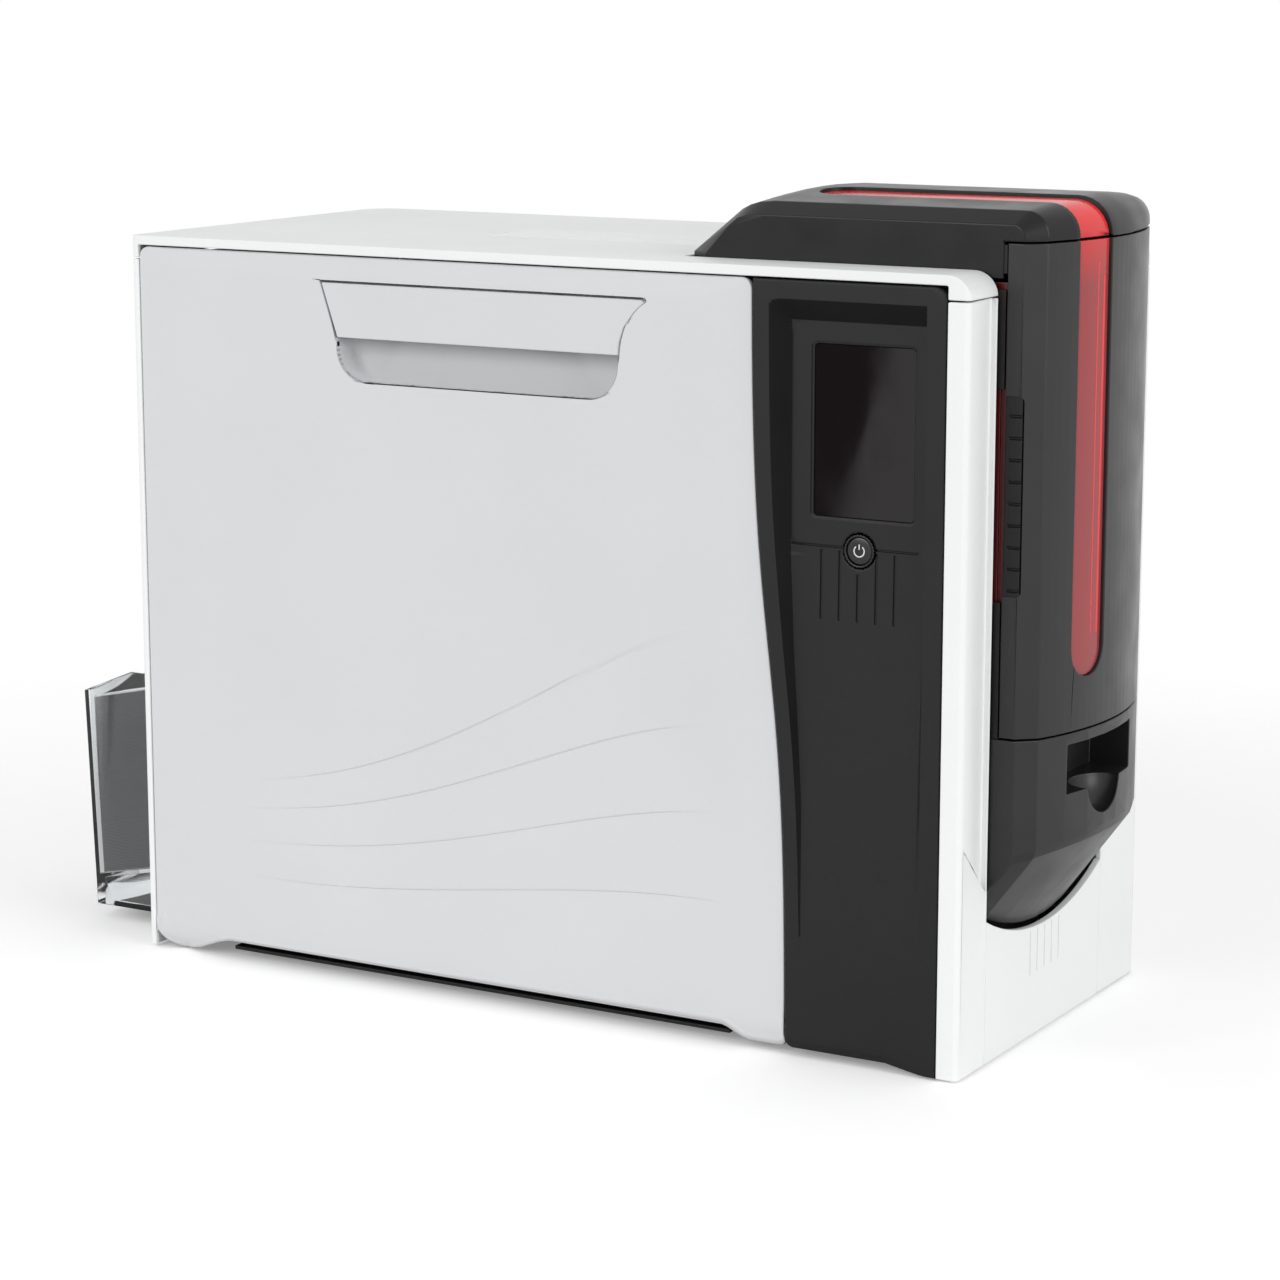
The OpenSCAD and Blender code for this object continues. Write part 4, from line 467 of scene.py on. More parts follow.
class Look(Enum):
    """The finishes that the printer's pieces take, by name."""

    CASING = Moulded("casing_white", (246, 247, 247), 0.5, grain_depth=0.00002, mottle=0.006, shine=0.3)
    CAP = Moulded("cap_white", (244, 245, 245), 0.5, grain_depth=0.00002, mottle=0.006, shine=0.3,
                  lines=(-0.067, 0.062))
    DOOR = Moulded("door_grey", (218, 219, 221), 0.5, grain_depth=0.00002, mottle=0.006, shine=0.3)
    PANEL = Moulded("panel_black", (21, 21, 22), 0.5, mottle=0.06, shine=0.3)
    # Painted shade: a darker copy of the panel black for the recess's top and left slopes, where shade falls.
    PANEL_SLOPE_SHADE = Moulded("panel_slope", (9, 9, 9), 0.6, mottle=0.05, shine=0.15)
    RING = Moulded("ring_black", (18, 18, 19), 0.3, grain_depth=0.00001, mottle=0.05)
    BUTTON = Moulded("button_black", (22, 22, 23), 0.26, grain_depth=0.00001, mottle=0.05)
    MARK = Moulded("mark_white", (226, 227, 228), 0.4, grain_depth=0.00001)
    FEEDER = Moulded("feeder_grey", (30, 30, 31), 0.34, grain_depth=0.00002, mottle=0.05, shine=0.45)
    HOOD = Moulded("hood_grey", (17, 17, 18), 0.34, grain_depth=0.00002, mottle=0.05, shine=0.3)
    FRAME = Moulded("frame_dark", (20, 20, 21), 0.5, mottle=0.06, shine=0.3)
    TRAY = Moulded("tray_black", (18, 18, 19), 0.5, mottle=0.08, shine=0.3)
    MODULE = Moulded("module_grey", (90, 95, 99), 0.45)
    MAGAZINE = Moulded("magazine_red", (96, 14, 17), 0.36, mottle=0.05)
    DIAL = Moulded("dial_grey", (112, 112, 114), 0.36, mottle=0.04)
    CASSETTE = Moulded("cassette_grey", (120, 122, 126), 0.42, mottle=0.04)
    REAR_PANEL = Moulded("panel_rear", (40, 40, 42), 0.48, mottle=0.05, shine=0.4)
    FAN = Moulded("fan_black", (18, 18, 19), 0.44, mottle=0.06, shine=0.4)
    CARD = Moulded("card_white", (240, 240, 238), 0.28, grain_depth=0.00001, mottle=0.01)
    STEEL = Metal("plate_steel", (176, 178, 180), 0.36)
    PIN = Metal("pin_steel", (200, 202, 204), 0.22, (2200.0, 2200.0, 60.0))
    HEAD = Metal("head_metal", (150, 152, 156), 0.3, (2200.0, 60.0, 2200.0))
    MOTOR = Metal("motor_metal", (110, 112, 116), 0.4, (900.0, 40.0, 900.0))
    BRASS = Metal("gear_brass", (196, 164, 92), 0.3, (1600.0, 80.0, 1600.0))
    SUPPLY = Metal("supply_metal", (168, 170, 172), 0.42)
    WEIGHT = Metal("weight_dark", (70, 72, 76), 0.45, (400.0, 400.0, 400.0))
    FOOT = Rubber("foot_rubber", (22, 22, 22))
    ROLLER = Rubber("roller_rubber", (52, 54, 58), 0.62)
    HOT_ROLLER = Rubber("hot_roller", (120, 58, 40), 0.5)
    SPOOL_RIBBON = Moulded("spool_ribbon", (40, 42, 120), 0.22, grain_depth=0.00001)
    SPOOL_FILM = Moulded("spool_film", (196, 204, 206), 0.18, grain_depth=0.00001)
    WEB_RIBBON = Web("web_ribbon", ((232, 200, 30), (200, 30, 110), (20, 120, 190), (20, 20, 24)))
    WEB_FILM = Web("web_film", ((206, 212, 216), (190, 200, 208)), 0.13, 0.1)
    GLASS = Glazing("screen_glass", (26, 22, 23), 0.0, 0.03, 1.42)
    RED_CLEAR = WindowRed("window_red")
    RED_BRIGHT = Moulded("rib_red", (238, 62, 66), 0.3, grain_depth=0.00001)
    CARD_EDGE = Moulded("card_edges", (92, 92, 94), 0.5, grain_depth=0.00001, mottle=0.06, shine=0.3)
    CARD_FACE = CardFace("card_face")
    CLEAR = Glazing("clear_plastic", (242, 244, 245), 1.0, 0.04)
    BOARD = Board("board_green")


_made: dict[Look, bpy.types.Material] = {}


def finish(look: Look) -> bpy.types.Material:
    """The material of a look, built once.

    Args:
        look: The look.

    Returns:
        Its material.
    """
    if look not in _made:
        _made[look] = look.value.make()
    return _made[look]


# ---------------------------------------------------------------- sums on arrays


def ease(value: np.ndarray, low: float, high: float) -> np.ndarray:
    """Smooth step from 0 at low to 1 at high, which may be below it: three t squared less two t cubed."""
    t = np.clip((value - low) / (high - low), 0, 1)
    return t * t * (3 - 2 * t)


def spaced(low: float, high: float, step: float, marks: tuple[float, ...] = (),
           near: tuple[float, ...] = (0.2, 0.5, 1.1)) -> np.ndarray:
    """Even positions with more of them close to each mark.

    Args:
        low: First position.
        high: Last position.
        step: Even spacing.
        marks: Positions of edges.
        near: Distances from a mark at which there is a position too.

    Returns:
        The sorted positions, none closer than 0.08 to the next.
    """
    even = np.linspace(low, high, max(2, int(round((high - low) / step)) + 1))
    offsets = np.array([0.0, *near, *(-n for n in near)])
    close = (np.array(marks)[:, None] + offsets).ravel() if marks else np.zeros(0)
    every = np.unique(np.round(np.concatenate([[low, high], close, even]), 3))
    every = every[(every >= low) & (every <= high)]
    keep = np.concatenate([[True], np.diff(every) > 0.08])
    keep[-1] = True
    return every[keep]


def box_depth(a: np.ndarray, b: np.ndarray, box: tuple[float, float, float, float],
              radius: float, edge: float) -> np.ndarray:
    """Mask of a rectangle with round corners: 1 inside, 0 outside, from its signed distance.

    Args:
        a: First coordinate of the points.
        b: Second coordinate of the points.
        box: Low and high first coordinate, low and high second one.
        radius: Radius of the corners.
        edge: Width of the step at the edge.

    Returns:
        The mask at each point.
    """
    mid = ((box[0] + box[1]) / 2, (box[2] + box[3]) / 2)
    half = ((box[1] - box[0]) / 2 - radius, (box[3] - box[2]) / 2 - radius)
    da, db = np.abs(a - mid[0]) - half[0], np.abs(b - mid[1]) - half[1]
    away = np.hypot(np.maximum(da, 0), np.maximum(db, 0)) + np.minimum(np.maximum(da, db), 0) - radius
    return ease(away, edge / 2, -edge / 2)


def roll(rim: np.ndarray, radius: float) -> np.ndarray:
    """Drop of a rounded edge at a distance from the rim: the radius less a quarter circle's height."""
    return radius - np.sqrt(np.clip(radius ** 2 - (radius - np.clip(rim, 0, radius)) ** 2, 0, 1))


def boxed(points: np.ndarray, axis: int, back: float) -> np.ndarray:
    """Gives a grid a wall: its border is doubled, and the outer copy goes to a level along an axis.

    Args:
        points: The grid.
        axis: The axis, 0 for x and 1 for y.
        back: Where the wall ends on it.

    Returns:
        The grid with two more rows and columns.
    """
    walled = np.pad(points, ((1, 1), (1, 1), (0, 0)), mode="edge")
    for side in (walled[0], walled[-1], walled[:, 0], walled[:, -1]):
        side[:, axis] = back
    return walled


def round_corners(corners: np.ndarray, radius: float, reach: np.ndarray, count: int) -> np.ndarray:
    """Outlines of a rectangle with quarter circles at its corners.

    Args:
        corners: The rectangle's corners, from the high, high one round by the low, high one.
        radius: How far the circles' centres stand in from both sides.
        reach: Radius of the circles in each outline.
        count: Points on each quarter circle.

    Returns:
        The points of each outline, one row an outline.
    """
    turn = np.radians(np.linspace(0, 90, count)[None, :] + 90 * np.arange(4)[:, None])
    centre = corners + radius * np.array([[-1, -1], [1, -1], [1, 1], [-1, 1]])
    ring = np.stack([np.cos(turn), np.sin(turn)], -1)
    return (centre[None, :, None, :] + reach[:, None, None, None] * ring[None]).reshape(len(reach), -1, 2)


def along(path: np.ndarray, count: int) -> np.ndarray:
    """Points at even distances along a path.

    Args:
        path: The path's points, one a row.
        count: Number of points wanted.

    Returns:
        The new points, from the path's first to its last.
    """
    run = np.concatenate([[0], np.cumsum(np.linalg.norm(np.diff(path, axis=0), axis=1))])
    at = np.linspace(0, run[-1], count)
    return np.stack([np.interp(at, run, path[:, k]) for k in range(path.shape[1])], -1)


def curve(start: tuple[float, float], pull: tuple[float, float], end: tuple[float, float],
          count: int) -> np.ndarray:
    """Points on a quadratic curve from start to end, drawn towards pull."""
    t = np.linspace(0, 1, count)[:, None]
    return (1 - t) ** 2 * np.array(start) + 2 * t * (1 - t) * np.array(pull) + t ** 2 * np.array(end)


def swept_edge(z: np.ndarray) -> np.ndarray:
    """X of the swept edge between door and panel at height z: 141 + 9.5 tanh((183 - z) / 78) mm."""
    return 141.0 + 9.5 * np.tanh((183.0 - z) / 78.0)


# ---------------------------------------------------------------- mesh helpers


class Sheets:
    """Gathers grids of points and turns them into one mesh."""

    def __init__(self) -> None:
        """Starts with nothing gathered."""
        self.points: list[np.ndarray] = []
        self.quads: list[np.ndarray] = []
        self.count = 0

    def grid(self, points: np.ndarray, round_u: bool = False, round_v: bool = False) -> None:
        """Adds a grid; quad (i, j) joins its points i, i+1 and j, j+1.

        Args:
            points: Array of rows, columns and coordinates, in metres.
            round_u: Whether the last row joins the first.
            round_v: Whether the last column joins the first.
        """
        rows, cols = points.shape[:2]
        i = np.arange(rows if round_u else rows - 1)
        j = np.arange(cols if round_v else cols - 1)
        a, b = np.meshgrid(i, j, indexing="ij")
        c, d = (a + 1) % rows, (b + 1) % cols
        quads = np.stack([a * cols + b, c * cols + b, c * cols + d, a * cols + d], -1).reshape(-1, 4)
        self.points.append(points.reshape(-1, 3))
        self.quads.append(quads + self.count)
        self.count += rows * cols

    def make(self, name: str, outward: tuple[float, float, float] | None = None,
             smooth: float = 32.0) -> bpy.types.Object:
        """Makes the object.

        Args:
            name: Name of the piece.
            outward: For an open sheet, the side its faces look to; None for a closed shell.
            smooth: Angle in degrees up to which edges are shaded smooth.

        Returns:
            The object, at the origin.
        """
        mesh = bpy.data.meshes.new(name)
        mesh.from_pydata(np.concatenate(self.points).tolist(), [], np.concatenate(self.quads).tolist())
        merge(mesh, 4e-6)
        if outward is not None:
            normals = np.zeros(len(mesh.polygons) * 3)
            areas = np.zeros(len(mesh.polygons))
            mesh.polygons.foreach_get("normal", normals)
            mesh.polygons.foreach_get("area", areas)
            if ((normals.reshape(-1, 3) * areas[:, None]).sum(0) @ np.array(outward)) < 0:
                mesh.flip_normals()
        return place(name, mesh, smooth)


def merge(mesh: bpy.types.Mesh, distance: float) -> None:
    """Merges doubled points, drops empty faces and turns the faces of closed shells outwards.

    Args:
        mesh: The mesh, changed in place.
        distance: Points closer than this become one.
    """
    work = bmesh.new()
    work.from_mesh(mesh)
    bmesh.ops.remove_doubles(work, verts=work.verts, dist=distance)
    bmesh.ops.dissolve_degenerate(work, dist=distance, edges=work.edges)
    bmesh.ops.recalc_face_normals(work, faces=work.faces)
    work.to_mesh(mesh)
    work.free()


def place(name: str, mesh: bpy.types.Mesh, smooth: float) -> bpy.types.Object:
    """Puts a mesh into the scene and shades it.

    Args:
        name: Name of the piece.
        mesh: Its mesh.
        smooth: Angle in degrees up to which edges are shaded smooth.

    Returns:
        The object, at the origin.
    """
    obj = bpy.data.objects.new(name, mesh)
    bpy.context.scene.collection.objects.link(obj)
    mesh.polygons.foreach_set("use_smooth", [True] * len(mesh.polygons))
    mesh.set_sharp_from_angle(angle=math.radians(smooth))
    mesh.update()
    return obj


def round_edges(obj: bpy.types.Object, width: float, angle: float = SMOOTH_UP_TO) -> None:
    """Adds a bevel to the edges that turn more than an angle.

    Args:
        obj: The piece.
        width: Width of the bevel in millimetres.
        angle: Edges that turn less than this, in degrees, stay as they are.
    """
    bevel = obj.modifiers.new("round_edges", "BEVEL")
    bevel.width = width * MM
    bevel.segments = 3
    bevel.limit_method = "ANGLE"
    bevel.angle_limit = math.radians(angle)
    bevel.use_clamp_overlap = False
    bevel.harden_normals = True
    bevel.miter_outer = "MITER_ARC"


def thicken(obj: bpy.types.Object, thickness: float) -> None:
    """Gives a sheet a wall of a thickness in millimetres, inwards from its faces."""
    wall = obj.modifiers.new("wall", "SOLIDIFY")
    wall.thickness, wall.offset = thickness * MM, -1


@dataclass
class Assembly:
    """A sub-assembly that dresses the CAD nodes of some bodies and adds pieces to them."""

    nodes: dict[str, bpy.types.Object]
    slots: dict[str, str]
    bodies: dict[str, str]

    def wear(self, obj: bpy.types.Object, look: Look, body: str, slot: str,
             stands_for: tuple[str, ...] = ()) -> bpy.types.Object:
        """Gives a piece its finish, its body and the nodes it stands for.

        Args:
            obj: The piece.
            look: Its finish.
            body: The CAD body it rides on.
            slot: The record's material slot; not used.
            stands_for: CAD nodes that it replaces.

        Returns:
            The piece.
        """
        obj.data.materials.clear()
        obj.data.materials.append(finish(look))
        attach(obj, body)
        if stands_for:
            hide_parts(*stands_for)
        log.info("%s: %s on %s", obj.name, look.name.lower(), body)
        return obj

    def stand_in(self, obj: bpy.types.Object, look: Look, node: str) -> bpy.types.Object:
        """Lets a piece stand for a CAD node, with that node's body."""
        return self.wear(obj, look, self.bodies[node], self.slots[node], (node,))

    def soften(self, node: str, look: Look, edge: float, angle: float = SMOOTH_UP_TO,
               joined: bool = False, bowed: bool = False) -> bpy.types.Object:
        """Stands a copy of a CAD node, with its edges rounded, for the node.

        Args:
            node: The CAD node.
            look: Its finish.
            edge: Width of the rounding in millimetres.
            angle: Edges that turn less than this, in degrees, stay as they are.
            joined: Whether triangles in one plane become one face first.
            bowed: Whether narrow flats make up a bow, and are shaded as one.

        Returns:
            The dressed piece.
        """
        mesh = self.nodes[node].data.copy()
        work = bmesh.new()
        work.from_mesh(mesh)
        bmesh.ops.remove_doubles(work, verts=work.verts, dist=SAME_POINT)
        if joined:
            bmesh.ops.dissolve_limit(work, angle_limit=math.radians(0.6), verts=work.verts, edges=work.edges)
        work.to_mesh(mesh)
        work.free()
        obj = place(f"{node}_dressed", mesh, angle)
        round_edges(obj, edge, angle)
        if bowed:
            obj.modifiers["round_edges"].harden_normals = False
            obj.modifiers.new("one_bow", "WEIGHTED_NORMAL").keep_sharp = True
        return self.stand_in(obj, look, node)

    def dress(self, *rows: tuple[str, Look, float]) -> None:
        """Softens CAD nodes one after another; a row is the node, its finish and its edge in millimetres."""
        for node, look, edge in rows:
            self.soften(node, look, edge)


# ---------------------------------------------------------------- sub-assemblies


@dataclass
class Casing(Assembly):
    """White covers, the insert under the feeder, the base tray and its feet."""

    edge: float = 0.7
    front: float = 235.0
    insert: tuple[float, float, float] = (-76.4, 50.4, 1.0)
    feeder_y: float = -13.0
    arc: tuple[float, float] = (51.5, 144.0)
    grooves: tuple[float, float, float] = (7.9, 30.0, 50.3)

    def build_insert(self) -> None:
        """Makes the insert under the feeder: a plate whose top edge is an arc, with five upright grooves.

        Row t of a column lies at t of the way from the foot to the arc, which is its lowest point plus the
        radius less the root of the radius squared less the distance from the middle squared.
        """
        marks = [self.feeder_y + k * self.grooves[0] for k in range(-2, 3)]
        y = spaced(self.insert[0], self.insert[1], 1.8, (*marks, *self.insert[:2]), (0.38, 0.55, 0.72, 1.2))
        top = sum(self.arc) - np.sqrt(self.arc[1] ** 2 - (y - self.feeder_y) ** 2)
        share = np.concatenate([[0, 0.004, 0.012], np.linspace(0.02, 0.98, 90), [0.988, 0.996, 1]])
        z = self.insert[2] + share[:, None] * (top - self.insert[2])[None, :]
        y = np.broadcast_to(y, z.shape)
        dent = np.zeros_like(z)
        for mark in marks:
            dent = dent + 1.3 * box_depth(y, z, (mark - 0.55, mark + 0.55, *self.grooves[1:]), 0.5, 0.3)
        rim = np.minimum(np.minimum(y - self.insert[0], self.insert[1] - y),
                         np.minimum(top - z, z - self.insert[2]))
        dent = dent + roll(rim, 0.6)
        sheet = Sheets()
        sheet.grid(boxed(np.stack([self.front - dent, y, z], -1), 0, self.front - 3.0) * MM)
        self.stand_in(sheet.make("insert_plate", (1, 0, 0), 45.0), Look.CASING, "front_insert")

    def build(self) -> None:
        """Dresses the covers, the tray and the feet."""
        for node in ("rear_cover", "far_side_cover", "front_cover"):
            self.soften(node, Look.CASING, self.edge, joined=True)
        self.soften("top_cover", Look.CAP, self.edge, joined=True)
        self.build_insert()
        self.soften("base_tray", Look.TRAY, 0.4, joined=True)
        self.soften("rubber_feet", Look.FOOT, 0.6)


@dataclass(frozen=True)
class Crease:
    """One curved crease in the door: the quartic curve through five points of x and height in mm."""

    points: tuple[tuple[float, float], ...]
    depth: float = 1.15

    @property
    def rear(self) -> float:
        """X of the crease's rear end."""
        return self.points[0][0]

    @property
    def front(self) -> float:
        """X of the crease's front end."""
        return self.points[-1][0]

    def height(self, x: np.ndarray) -> np.ndarray:
        """Height of the crease at x, held level past its ends."""
        at, up = np.array(self.points).T
        terms = np.polyfit((at - self.rear) / (self.front - self.rear), up, 4)
        return np.polyval(terms, np.clip((x - self.rear) / (self.front - self.rear), 0, 1))

    def dent(self, x: np.ndarray, z: np.ndarray) -> np.ndarray:
        """How far the skin is set back: a soft step at the crease that runs out below it, faded at both ends.

        Args:
            x: Place along the door in mm.
            z: Height in mm.

        Returns:
            The dent in mm.
        """
        t = (x - self.rear) / (self.front - self.rear)
        fade = ease(t, -0.02, 0.3) * ease(t, 1.03, 0.86)
        under = z - self.height(x)
        return self.depth * fade * np.exp(np.minimum(under, 0) / 9.0) * ease(under, 0.5, -0.5)


@dataclass
class SideDoor(Assembly):
    """Drop-down door with its creases, handle flap, pin, latch bar and hinge pins; sizes in mm."""

    rear: float = -198.5
    top: float = 344.7
    face: float = -105.0
    split: float = 280.0
    border: float = 0.8
    wall: float = 3.0
    seam: float = 0.4
    axis_z: float = 15.0
    foot_radius: float = 7.0
    creases: tuple[Crease, ...] = (
        Crease(((-147, 45), (-85, 46), (5, 56.5), (74, 64.5), (119, 66))),
        Crease(((-147, 61.5), (-84, 66), (5, 84), (74, 101), (114, 106.5))),
        Crease(((-152, 77.5), (-84, 86), (6, 114), (75, 138.5), (106, 145.5))),
        Crease(((-146, 91.5), (-84, 103), (6, 141.5), (75, 177.5), (99, 187.5))),
    )

    def foot(self, x: np.ndarray) -> np.ndarray:
        """Height of the door's lower edge: two lobes, each a quarter ellipse and a cosine, joined by a line.

        Args:
            x: Place along the door in mm.

        Returns:
            The height in mm.
        """
        from_rear = x - self.rear
        from_front = 149.2 - x
        corner = 12.9 - 12 * np.sqrt(np.clip(1 - ((14 - from_rear) / 14) ** 2, 0, 1))
        rear = np.where(from_rear < 14, corner, 0.9 + 8.6 * ease(from_rear, 15, 47))
        tip = 7.6 - 4.2 * np.sqrt(np.clip(1 - ((6 - from_front) / 6) ** 2, 0, 1))
        front = np.where(from_front < 6, tip, 3.4 + 6.1 * ease(from_front, 19, 33))
        return np.minimum(rear, front)

    def skin(self, x: np.ndarray, z: np.ndarray) -> np.ndarray:
        """Points of the skin: flat, rolled under below the hinge axis, creased, and lower along its borders.

        Args:
            x: Place along the door in mm.
            z: Height in mm.

        Returns:
            The points in metres.
        """
        below = np.clip((self.axis_z - z) / 14.1, 0, 1)
        y = self.face + self.foot_radius * (1 - np.sqrt(1 - below ** 2))
        for crease in self.creases:
            y = y + crease.dent(x, z)
        edge = swept_edge(z) - self.seam
        sides = (ease(x - self.rear, 30, 0), ease(edge - x, 26, 0), ease(self.top - z, 11, 0))
        y = y + self.border * np.maximum(np.maximum(sides[0], sides[1]), sides[2]) * (z > self.axis_z)
        return np.stack([x, y, z], -1) * MM

    def opening(self, counts: tuple[int, int, int, int]) -> np.ndarray:
        """Edge of the finger pocket and the flap's gap, from the lower rear corner round to it again.

        Args:
            counts: Points along the lower, front, upper and rear side.

        Returns:
            The points as x and z in mm.
        """
        bend = np.linspace(0, np.pi / 2, 12)
        low_front = np.stack([50 + 15 * np.sin(bend), 302.5 - 15 * np.cos(bend)], -1)
        low_rear = np.stack([-70 - 15 * np.sin(bend[::-1]), 302.5 - 15 * np.cos(bend[::-1])], -1)
        sweep = curve((65.8, 307.0), (67.0, 325.0), (78.6, 331.4), 14)
        lower = np.concatenate([low_rear[6:], low_front[:6]])
        front = np.concatenate([low_front[5:], sweep, [[79.3, 332.2], [77.8, 333.3]]])
        upper = np.array([[77.8, 333.3], [-94.3, 333.3]])
        rear = np.concatenate([[[-94.3, 333.3], [-85.8, 306.7], [-85.0, 306.0]], low_rear[:7]])
        sides = [along(side, n + 1)[:-1] for side, n in zip((lower, front, upper, rear), counts)]
        return np.concatenate(sides)

    def lower_skin(self, across: np.ndarray) -> np.ndarray:
        """Grid below the pocket: its rows follow the creases, closer together beside each.

        Args:
            across: Shares of the way from the rear edge to the swept edge.

        Returns:
            The points in metres.
        """
        near = np.array([0.35, 0.9, 1.9, 3.6, 5.8])
        rough = self.rear + across * (swept_edge(np.full_like(across, 100.0)) - self.seam - self.rear)
        lines = [self.foot(rough), *(c.height(rough) for c in self.creases), np.full_like(rough, self.split)]
        rows = [lines[0]]
        for k, (low, high) in enumerate(zip(lines[:-1], lines[1:])):
            start = np.zeros(1) if k == 0 else near
            end = np.array([2.0]) if k == len(lines) - 2 else near
            inner = np.linspace(0, 1, 22 if k == len(lines) - 2 else 12)
            first, last = low + start[-1], high - end[-1]
            rows += [low + n for n in start[:-1]] + [first + w * (last - first) for w in inner]
            rows += [high - n for n in end[:-1][::-1]] + [high]
        z = np.stack(rows)
        z[1:] = np.maximum(z[1:], z[0] + 0.02)
        x = self.rear + across[None, :] * (swept_edge(z) - self.seam - self.rear)
        return self.skin(x, z)

    def upper_skin(self, across: np.ndarray) -> np.ndarray:
        """Ring of quads between the pocket's edge and the door's upper border.

        Args:
            across: Shares of the way from the rear edge to the swept edge.

        Returns:
            The points in metres.
        """
        side, n = 40, len(across)
        z = np.linspace(self.split, self.top, side + 1)
        edge = swept_edge(z) - self.seam
        low = np.stack([self.rear + across * (edge[0] - self.rear), np.full(n, self.split)], -1)
        front = np.stack([edge, z], -1)
        top = np.stack([np.linspace(edge[-1], self.rear, n), np.full(n, self.top)], -1)
        back = np.stack([np.full(side + 1, self.rear), z[::-1]], -1)
        outer = np.concatenate([low[:-1], front[:-1], top[:-1], back[:-1]])
        inner = self.opening((n - 1, side, n - 1, side))
        corner = np.array([[edge[-1] - 5, self.top - 5], [self.rear + 5, self.top - 5]])
        for centre, sign in zip(corner, (1, -1)):
            away = outer - centre
            out = (away[:, 0] * sign > 0) & (away[:, 1] > 0)
            size = np.maximum(np.linalg.norm(away, axis=1), 1e-6)
            pulled = centre + away * np.minimum(1, 5 / size)[:, None]
            outer = np.where(out[:, None], pulled, outer)
        share = np.concatenate([[0, 0.01, 0.03, 0.07], np.linspace(0.14, 0.9, 12), [0.95, 0.98, 1]])
        flat = inner[None] + share[:, None, None] * (outer - inner)[None]
        return self.skin(flat[..., 0], flat[..., 1])

    def build_skin(self) -> None:
        """Makes the skin from the two grids, gives it its wall and rounds its rim."""
        across = spaced(0, 348, 2.4, (0, 348), (1.2, 3.0, 5.4)) / 348
        sheet = Sheets()
        sheet.grid(self.lower_skin(across))
        sheet.grid(self.upper_skin(across), round_v=True)
        skin = sheet.make("door_skin", (0, -1, 0))
        thicken(skin, self.wall)
        round_edges(skin, 0.55, 62.0)
        self.wear(skin, Look.DOOR, "side_door", "door_grey", ("side_door",))

    def build_inside(self) -> None:
        """Keeps the cup, the ribs and the knuckles of the CAD door behind the new skin."""
        mesh = self.nodes["side_door"].data.copy()
        work = bmesh.new()
        work.from_mesh(mesh)
        bmesh.ops.remove_doubles(work, verts=work.verts, dist=SAME_POINT)
        faces = list(work.faces)
        middle = np.array([face.calc_center_median() for face in faces]) / MM
        knuckle = np.min(np.abs(middle[:, :1] - np.array([[-75.0, 73.0]])), axis=1) < 8.2
        gone = (middle[:, 1] < -101.95) | ((middle[:, 2] < 14.9) & ~knuckle)
        bmesh.ops.delete(work, geom=[face for face, out in zip(faces, gone) if out], context="FACES")
        work.to_mesh(mesh)
        work.free()
        self.wear(place("door_inside", mesh, SMOOTH_UP_TO), Look.DOOR, "side_door", "door_grey")

    def build(self) -> None:
        """Dresses the door and what moves with it."""
        self.build_skin()
        self.build_inside()
        self.dress(("handle_flap", Look.DOOR, 0.6), ("handle_pin", Look.PIN, 0.2),
                   ("latch_bar", Look.SUPPLY, 0.3), ("door_hinge_pins", Look.PIN, 0.3))


